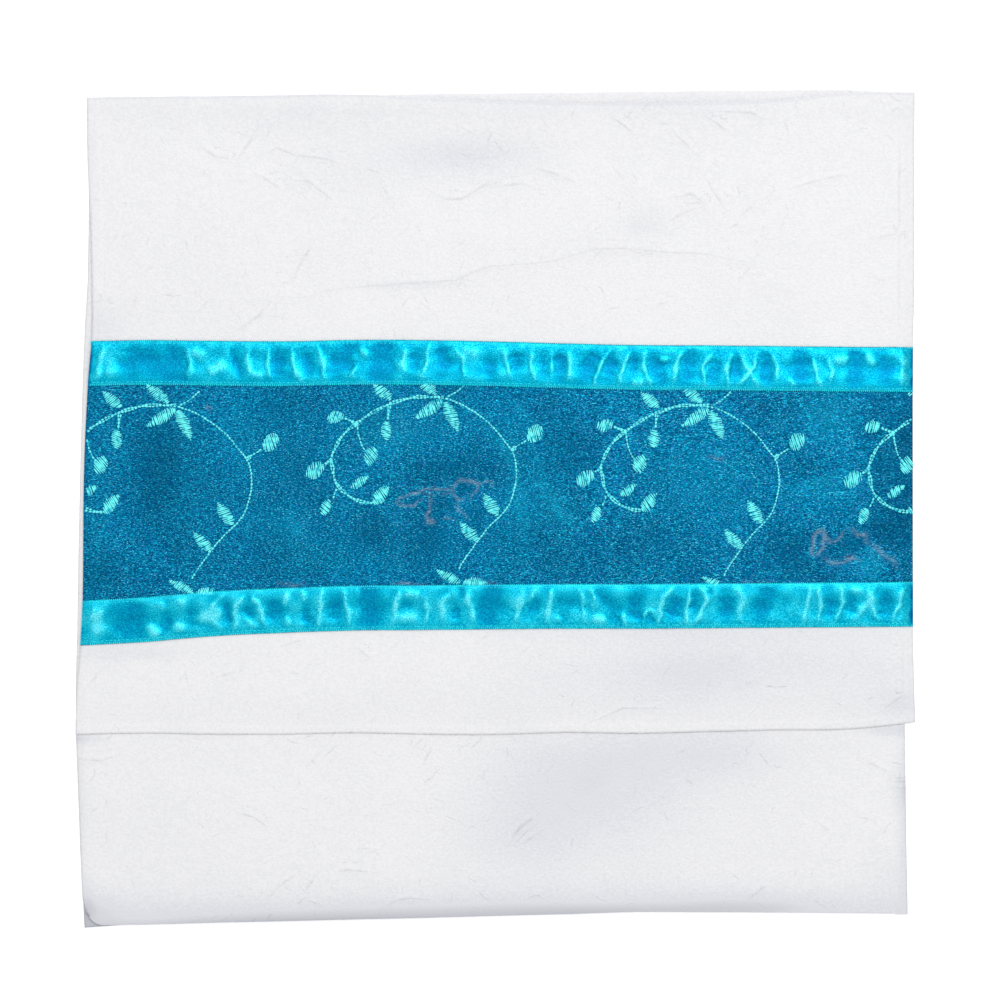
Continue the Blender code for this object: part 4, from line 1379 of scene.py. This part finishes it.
class RibbonSettings(bpy.types.PropertyGroup):
    """Sizes and colours of the satin ribbons."""

    pitch: length_setting("Pitch", "Spacing of the ribbon's points", 0.0009)
    thickness: length_setting("Thickness", "Thickness of the ribbon", 0.00035)
    edge_thread: length_setting("Edge thread", "Thickness of the loops and seams", 0.00055)
    pucker: length_setting("Pucker", "Height of the puckers", 0.0004)
    colour: colour_setting("Colour", "Turquoise of the satin", (0.0, 0.43, 0.60))
    # Hollow colour is painted shade, in the hollows and as a thin shadow at the very edges; gleam colour
    # is painted highlight on the ridges, and also tints a strip inside the edges; end colour is painted
    # shade on the turned ends
    hollow: colour_setting("Hollow colour", "Turquoise of the hollows", (0.0, 0.18, 0.38))
    edge: colour_setting("Gleam colour", "Bright turquoise of ridges and edges", (0.045, 0.71, 0.86))
    end: colour_setting("End colour", "Deep blue of the turned ends", (0.0, 0.10, 0.32))


class EmbroiderySettings(bpy.types.PropertyGroup):
    """Sizes and colours of the embroidery and other stitching."""

    stem_thread: length_setting("Stem thread", "Thickness of the stem stitches", 0.0012)
    leaf_thread: length_setting("Leaf thread", "Thickness of the leaf stitches", 0.00102)
    seed: IntProperty(name="Seed", description="Which uneven stitches are drawn", default=41)
    colour: colour_setting("Colour", "Aqua of the thread", (0.19, 1.0, 1.0))
    shade: colour_setting("Shade", "Deeper aqua of the thread", (0.0, 0.46, 0.64))


class StageSettings(bpy.types.PropertyGroup):
    """Floor, lights and camera."""

    camera_height: length_setting("Camera height", "Height of the camera", 3.007)
    view_width: length_setting("View width", "Width of the picture on the shawl", 0.568)
    key_power: FloatProperty(name="Key power", description="Watts of the main light", default=40.0)
    sky: FloatProperty(name="Sky", description="Strength of the light from all round", default=0.76)


class SHAWL_OT_layers(bpy.types.Operator):
    """Adds the hidden stretches of the cloth, folded to and fro"""

    bl_idname = "shawl.add_layers"
    bl_label = "Hidden layers"

    def execute(self, context):
        settings = context.scene.shawl_cloth
        cloth, hem = settings.thickness / MM, settings.hem_thickness / MM
        columns = columns_at(settings.pitch / MM)
        bottom, middle, top = layer_rows(settings.pitch / MM)
        turn = np.radians(np.arange(-72, 90, 18))
        counts = (len(bottom), len(turn), len(middle), len(turn), len(top))
        starts = np.concatenate(([0], np.cumsum(counts)))
        in_hems = None

        def place(column, row):
            nonlocal in_hems
            x, y, z = np.zeros((3, len(row)))
            part = np.searchsorted(starts, row, side="right") - 1
            step = row - starts[part]
            for index, rows, height in (
                (0, bottom, lowest_height), (2, middle, second_height), (4, top, third_height)
            ):
                here = part == index
                x[here], y[here] = settled("stack", columns, column[here], rows, step[here])
                z[here] = height(x[here], y[here], cloth)
            x[part == 2] *= SECOND_NARROWING
            for index, line, sign, lower, upper in (
                (1, "stack_back", 1, lowest_height, second_height),
                (3, "stack_front", -1, second_height, third_height),
            ):
                here = part == index
                edge = rows_between(((line, -sign * NOSE, 1),))
                x[here], edge_y = settled("stack", columns, column[here], edge, 0 * step[here])
                low, high = (height(x[here], edge_y, cloth) for height in (lower, upper))
                angle = turn[step[here]]
                y[here] = edge_y + sign * NOSE * np.cos(angle)
                z[here] = (low + high) / 2 + (high - low) / 2 * np.sin(angle)
            round_corner(x, y, part >= 2)
            side_hems = in_hem(SIDE_HEM, from_sides("stack", x, y)) * (part != 4)
            end_hem = in_hem(SIDE_HEM - HEM_RAMP, y - line_y("stack_end", x)) * (part == 0)
            in_hems = np.maximum(side_hems, end_hem)
            return x, y, z + (part == 0) * in_hems * (hem - cloth) / 2

        mesh = sheet_mesh("shawl_layers", columns, int(starts[-1]), place)
        x, y, z = points_of(mesh).T
        # Painted shade: deep grey on the lowest layers' front left corner, and the shaded patches
        # elsewhere
        corner = (z < LAYER) & (y < line_y("stack_front", x) + CORNER_Y) & (x < 0)
        store(mesh, "tone", np.where(corner, CORNER_TONE, patched(FRONT_SHADES, x, y)))
        store_creases(mesh, FRONT_CREASES, x, y)
        material = crinkled_satin("crinkled_satin_layers", settings, LAYERS_CRUSH)
        piece = add_piece("shawl_layers", mesh, material, ["folded_layers"])
        give_thickness(piece, settings.hem_thickness, 0.0, cloth / hem, in_hems)
        return {"FINISHED"}


class SHAWL_OT_top(bpy.types.Operator):
    """Adds the top stretch of the cloth, from its hem to the back fold and round it"""

    bl_idname = "shawl.add_top"
    bl_label = "Top stretch"

    def execute(self, context):
        settings = context.scene.shawl_cloth
        cloth, hem = settings.thickness / MM, settings.hem_thickness / MM
        pitch = settings.pitch / MM
        columns = columns_at(pitch)
        rows = rows_between((
            ("hem", 0, 1), ("hem", FRONT_HEM, 3), ("hem", FRONT_HEM + HEM_RAMP, 2),
            ("lower_ribbon", -RIBBON_WIDTH / 2 + 2, int(56 / pitch)),
            ("upper_ribbon", RIBBON_WIDTH / 2 - 2, 18),
            ("fold", -BACK_RISE, int(108 / pitch)), ("fold", -TURN_RADIUS, int(30 / pitch)),
        ))
        turn = np.radians(90 - 18 * np.arange(1, 11))
        last = len(rows) - 1
        in_hems = None

        def place(column, row):
            nonlocal in_hems
            x, y = settled("panel", columns, column, rows, np.minimum(row, last))
            z = top_surface(x, y)
            turned = row > last
            angle = turn[np.clip(row - last - 1, 0, len(turn) - 1)]
            radius = TURN_RADIUS + (z - TURN_TOP) / 2
            y = np.where(turned, y + radius * np.cos(angle), y)
            z = np.where(turned, z - radius + radius * np.sin(angle), z)
            y = y - RETURN * np.maximum(row - last - len(turn), 0) / RETURN_ROWS
            side_hems = in_hem(SIDE_HEM, from_sides("panel", x, y))
            in_hems = np.maximum(side_hems, in_hem(FRONT_HEM, y - line_y("hem", x)))
            return x, y, z

        mesh = sheet_mesh("shawl_top", columns, len(rows) + len(turn) + RETURN_ROWS, place)
        x, y, _ = points_of(mesh).T
        # Painted shade: the shaded patches, and grey where the back fold turns under
        turned_under = smooth((y - line_y("fold", x) + TURNED_FROM) / TURNED_RAMP)
        store(mesh, "tone", patched(TOP_SHADES, x, y) + TURNED_TONE * turned_under)
        store_creases(mesh, TOP_CREASES + HEM_LINES, x, y)
        material = crinkled_satin("crinkled_satin_top", settings, TOP_CRUSH)
        piece = add_piece("shawl_top", mesh, material, ["top_panel"])
        give_thickness(piece, settings.hem_thickness, -1.0, cloth / hem, in_hems)
        return {"FINISHED"}


class SHAWL_OT_band(bpy.types.Operator):
    """Adds the organza band"""

    bl_idname = "shawl.add_band"
    bl_label = "Organza band"

    def execute(self, context):
        settings = context.scene.shawl_band
        pitch = settings.pitch / MM
        columns = columns_at(pitch)
        reach = RIBBON_WIDTH / 2 - SEAM_OVERLAP
        rows = rows_between((("lower_ribbon", reach, 1), ("upper_ribbon", -reach, int(126 / pitch))))

        def place(column, row):
            x, y = settled("panel", columns, column, rows, row)
            return x, y, band_surface(x, y)

        mesh = sheet_mesh("organza_band", columns, len(rows), place)
        x, y, _ = points_of(mesh).T
        tone = patched(ORGANZA_PATCHES, x, y)
        add_creases(tone, ORGANZA_STREAKS, x, y)
        store(mesh, "tone", np.clip(tone, -1, 2))
        moire = np.zeros(len(x))
        wobble_x, wobble_y = (MOIRE_WOBBLE * ripple(x, y, seed, MOIRE_REACH) for seed in (61, 62))
        add_creases(moire, MOIRE_LINES, x + wobble_x, y + wobble_y)
        store(mesh, "moire", np.clip(moire, 0, 1))
        material = shot_organza("teal_organza", settings)
        piece = add_piece("organza_band", mesh, material, ["embroidered_band"])
        give_thickness(piece, settings.thickness, -1.0)
        return {"FINISHED"}


class SHAWL_OT_ribbons(bpy.types.Operator):
    """Adds the two satin ribbons with their puckers and turned ends"""

    bl_idname = "shawl.add_ribbons"
    bl_label = "Satin ribbons"

    def execute(self, context):
        settings = context.scene.shawl_ribbon
        material = ribbon_satin("turquoise_satin", settings)
        self.add_ribbon(settings, material, "upper_ribbon", UPPER_PUCKERS, -1)
        self.add_ribbon(settings, material, "lower_ribbon", LOWER_PUCKERS, 1)
        return {"FINISHED"}

    def add_ribbon(self, settings, material, line, puckers, inner):
        """Adds a ribbon along a line. Inner is the side on which the band is: 1 above, -1 below."""
        pitch = settings.pitch / MM
        turn = np.radians((0, 22, 45, 68))
        ends = len(turn) + 2
        flat_columns = columns_at(pitch)
        columns = flat_columns + 2 * ends
        rows = int(RIBBON_WIDTH / pitch) + 1

        def place(column, row):
            across = (row / (rows - 1) - 0.5) * RIBBON_WIDTH
            share = np.clip((column - ends) / (flat_columns - 1), 0, 1)
            x = (2 * share - 1) * HALF_WIDTH
            for _ in range(SETTLING):
                y = line_y(line, x) + across
                left, right = edge_x("panel_left", y), edge_x("panel_right", y)
                x = left + END_INSET + share * (right - left - 2 * END_INSET)
            sign = np.where(share < 0.5, -1.0, 1.0)
            y, z = ribbon_point(puckers, settings.pucker / MM, line, inner, x, across)
            past = np.maximum(ends - column, column - (columns - 1 - ends))
            angle = np.array([pi / 2, *turn[::-1], 0, 0])[np.clip(past, 0, ends)]
            out = np.where(past > 0, END_TURN * np.cos(angle), 0)
            drop = np.where(past > 0, END_TURN * (1 - np.sin(angle)), 0)
            drop = drop + np.clip(past - len(turn), 0, 2) * END_STEP
            return x + sign * out, y, z - drop

        name = "satin_" + line
        mesh = sheet_mesh(name, columns, rows, place)
        x, y, _ = points_of(mesh).T
        # The gleam attribute is painted highlight on ridges and painted shade in hollows and on the
        # turned ends
        store(mesh, "gleam", gleam_at(puckers, x, y - line_y(line, x)) + puckers.tone)
        node = "ribbon_" + line.split("_")[0]
        piece = add_piece(name, mesh, material, [node])
        give_thickness(piece, settings.thickness, -1.0)
        stitching = self.add_stitching(settings, line, puckers, inner)

    def add_stitching(self, settings, line, puckers, inner):
        """Adds the small loops along both edges of a ribbon, and the seams that sew it on."""
        threads = []
        half = RIBBON_WIDTH / 2
        height = settings.pucker / MM
        loop_x, seam_x = np.arange(-230.0, 236.5, PICOT_PITCH), np.arange(-228.0, 234.0, SEAM_PITCH)
        loops = (loop_x, half - LOOP_INSET, 0.0, LOOP_LENGTH, LOOP_LIFT)
        seams = (seam_x, half - SEAM_INSET, SEAM_PITCH * SEAM_SHARE, 0.0, SEAM_LIFT)
        for edge in (-1, 1):
            for x, across, length_x, length_y, lift in (loops, seams):
                points = []
                for step, rise in ((-0.5, -STITCH_SINK), (0.0, lift), (0.5, -STITCH_SINK)):
                    at_x, at = x + length_x * step, edge * (across + length_y * step)
                    y, z = ribbon_point(puckers, height, line, inner, at_x, at)
                    points.append(np.stack((at_x, y, z + rise), axis=1))
                threads += list(np.stack(points, axis=1))
        mesh = threads_mesh("stitching_" + line, threads, settings.edge_thread)
        material = embroidery_thread("ribbon_thread_" + line, LOOP_COLOUR, settings.colour)
        return add_piece("stitching_" + line, mesh, material)


class SHAWL_OT_embroidery(bpy.types.Operator):
    """Adds the embroidered sprigs: stems in back stitch, leaves and buds in satin stitch"""

    bl_idname = "shawl.add_embroidery"
    bl_label = "Embroidery"

    def execute(self, context):
        settings = context.scene.shawl_embroidery
        draw = np.random.default_rng(settings.seed)
        stems, leaves = [], []
        for sprig in SPRIGS:
            for rows, route in STEMS:
                stems += stem_stitches(on_sprig(sprig, route), rows, draw)
            for base, tip, width, is_round in LEAVES:
                leaves += leaf_stitches(*on_sprig(sprig, (base, tip)), width, is_round, draw)
        stems = [stitch for stitch in stems if shows_on_band(stitch)]
        leaves = [stitch for stitch in leaves if shows_on_band(stitch)]
        material = embroidery_thread("aqua_thread", settings.colour, settings.shade)
        for name, stitches, thread, lift, arch in (
            ("embroidered_stems", stems, settings.stem_thread, STEM_LIFT, STEM_ARCH),
            ("embroidered_leaves", leaves, settings.leaf_thread, LEAF_LIFT, LEAF_ARCH),
        ):
            mesh = threads_mesh(name, raised(stitches, lift, arch), thread)
            add_piece(name, mesh, material)
        return {"FINISHED"}


class SHAWL_OT_stage(bpy.types.Operator):
    """Adds the floor, the lights and the camera over the shawl"""

    bl_idname = "shawl.add_stage"
    bl_label = "Stage"

    def execute(self, context):
        settings = context.scene.shawl_stage
        scene = context.scene
        scene.view_settings.view_transform = "Standard"
        bm = bmesh.new()
        bmesh.ops.create_grid(bm, x_segments=1, y_segments=1, size=FLOOR_REACH)
        mesh = bpy.data.meshes.new("floor")
        bm.to_mesh(mesh)
        bm.free()
        glow = {"Emission Color": (1, 1, 1, 1), "Emission Strength": FLOOR_GLOW, "Specular IOR Level": 0}
        mesh.materials.append(new_material("pale_floor", (0.95, 0.95, 0.95), 0.9, glow))
        floor = bpy.data.objects.new("floor", mesh)
        scene.collection.objects.link(floor)

        world = bpy.data.worlds.new("studio")
        world.use_nodes = True
        background = world.node_tree.nodes["Background"]
        background.inputs["Color"].default_value = (*SKY_COLOUR, 1.0)
        background.inputs["Strength"].default_value = settings.sky
        scene.world = world

        light = bpy.data.lights.new("window", "AREA")
        light.shape = "RECTANGLE"
        light.size, light.size_y = WINDOW_SIZE
        light.energy = settings.key_power
        window = bpy.data.objects.new("window", light)
        window.location = WINDOW_PLACE
        window.rotation_euler = (-window.location).to_track_quat("-Z", "Y").to_euler()
        scene.collection.objects.link(window)

        camera_data = bpy.data.cameras.new("camera")
        camera_data.sensor_width = SENSOR
        camera_data.lens = SENSOR * VIEW_DISTANCE / settings.view_width
        camera_data.clip_end = 20.0
        camera = bpy.data.objects.new("camera", camera_data)
        camera.location = (*CAMERA_PLACE, settings.camera_height)
        scene.collection.objects.link(camera)
        scene.camera = camera
        return {"FINISHED"}


OPERATORS = (
    SHAWL_OT_layers, SHAWL_OT_top, SHAWL_OT_band, SHAWL_OT_ribbons, SHAWL_OT_embroidery, SHAWL_OT_stage
)
SETTINGS = {
    "shawl_cloth": ShawlClothSettings,
    "shawl_band": BandSettings,
    "shawl_ribbon": RibbonSettings,
    "shawl_embroidery": EmbroiderySettings,
    "shawl_stage": StageSettings,
}


class SHAWL_PT_pieces(bpy.types.Panel):
    """Lists the shawl's pieces and their sizes and colours"""

    bl_idname = "SHAWL_PT_pieces"
    bl_label = "Folded prayer shawl"
    bl_space_type = "VIEW_3D"
    bl_region_type = "UI"
    bl_category = "Shawl"

    def draw(self, context):
        for name, group in SETTINGS.items():
            box = self.layout.box()
            for key in group.__annotations__:
                box.prop(getattr(context.scene, name), key)
        for operator in OPERATORS:
            self.layout.operator(operator.bl_idname)


def register():
    for group in (*SETTINGS.values(), *OPERATORS, SHAWL_PT_pieces):
        bpy.utils.register_class(group)
    for name, group in SETTINGS.items():
        setattr(bpy.types.Scene, name, PointerProperty(type=group))


def unregister():
    for name in SETTINGS:
        delattr(bpy.types.Scene, name)
    for group in reversed((*SETTINGS.values(), *OPERATORS, SHAWL_PT_pieces)):
        bpy.utils.unregister_class(group)


def main():
    register()
    bpy.ops.shawl.add_layers()
    bpy.ops.shawl.add_top()
    bpy.ops.shawl.add_band()
    bpy.ops.shawl.add_ribbons()
    bpy.ops.shawl.add_embroidery()
    bpy.ops.shawl.add_stage()


if __name__ == "__main__":
    main()
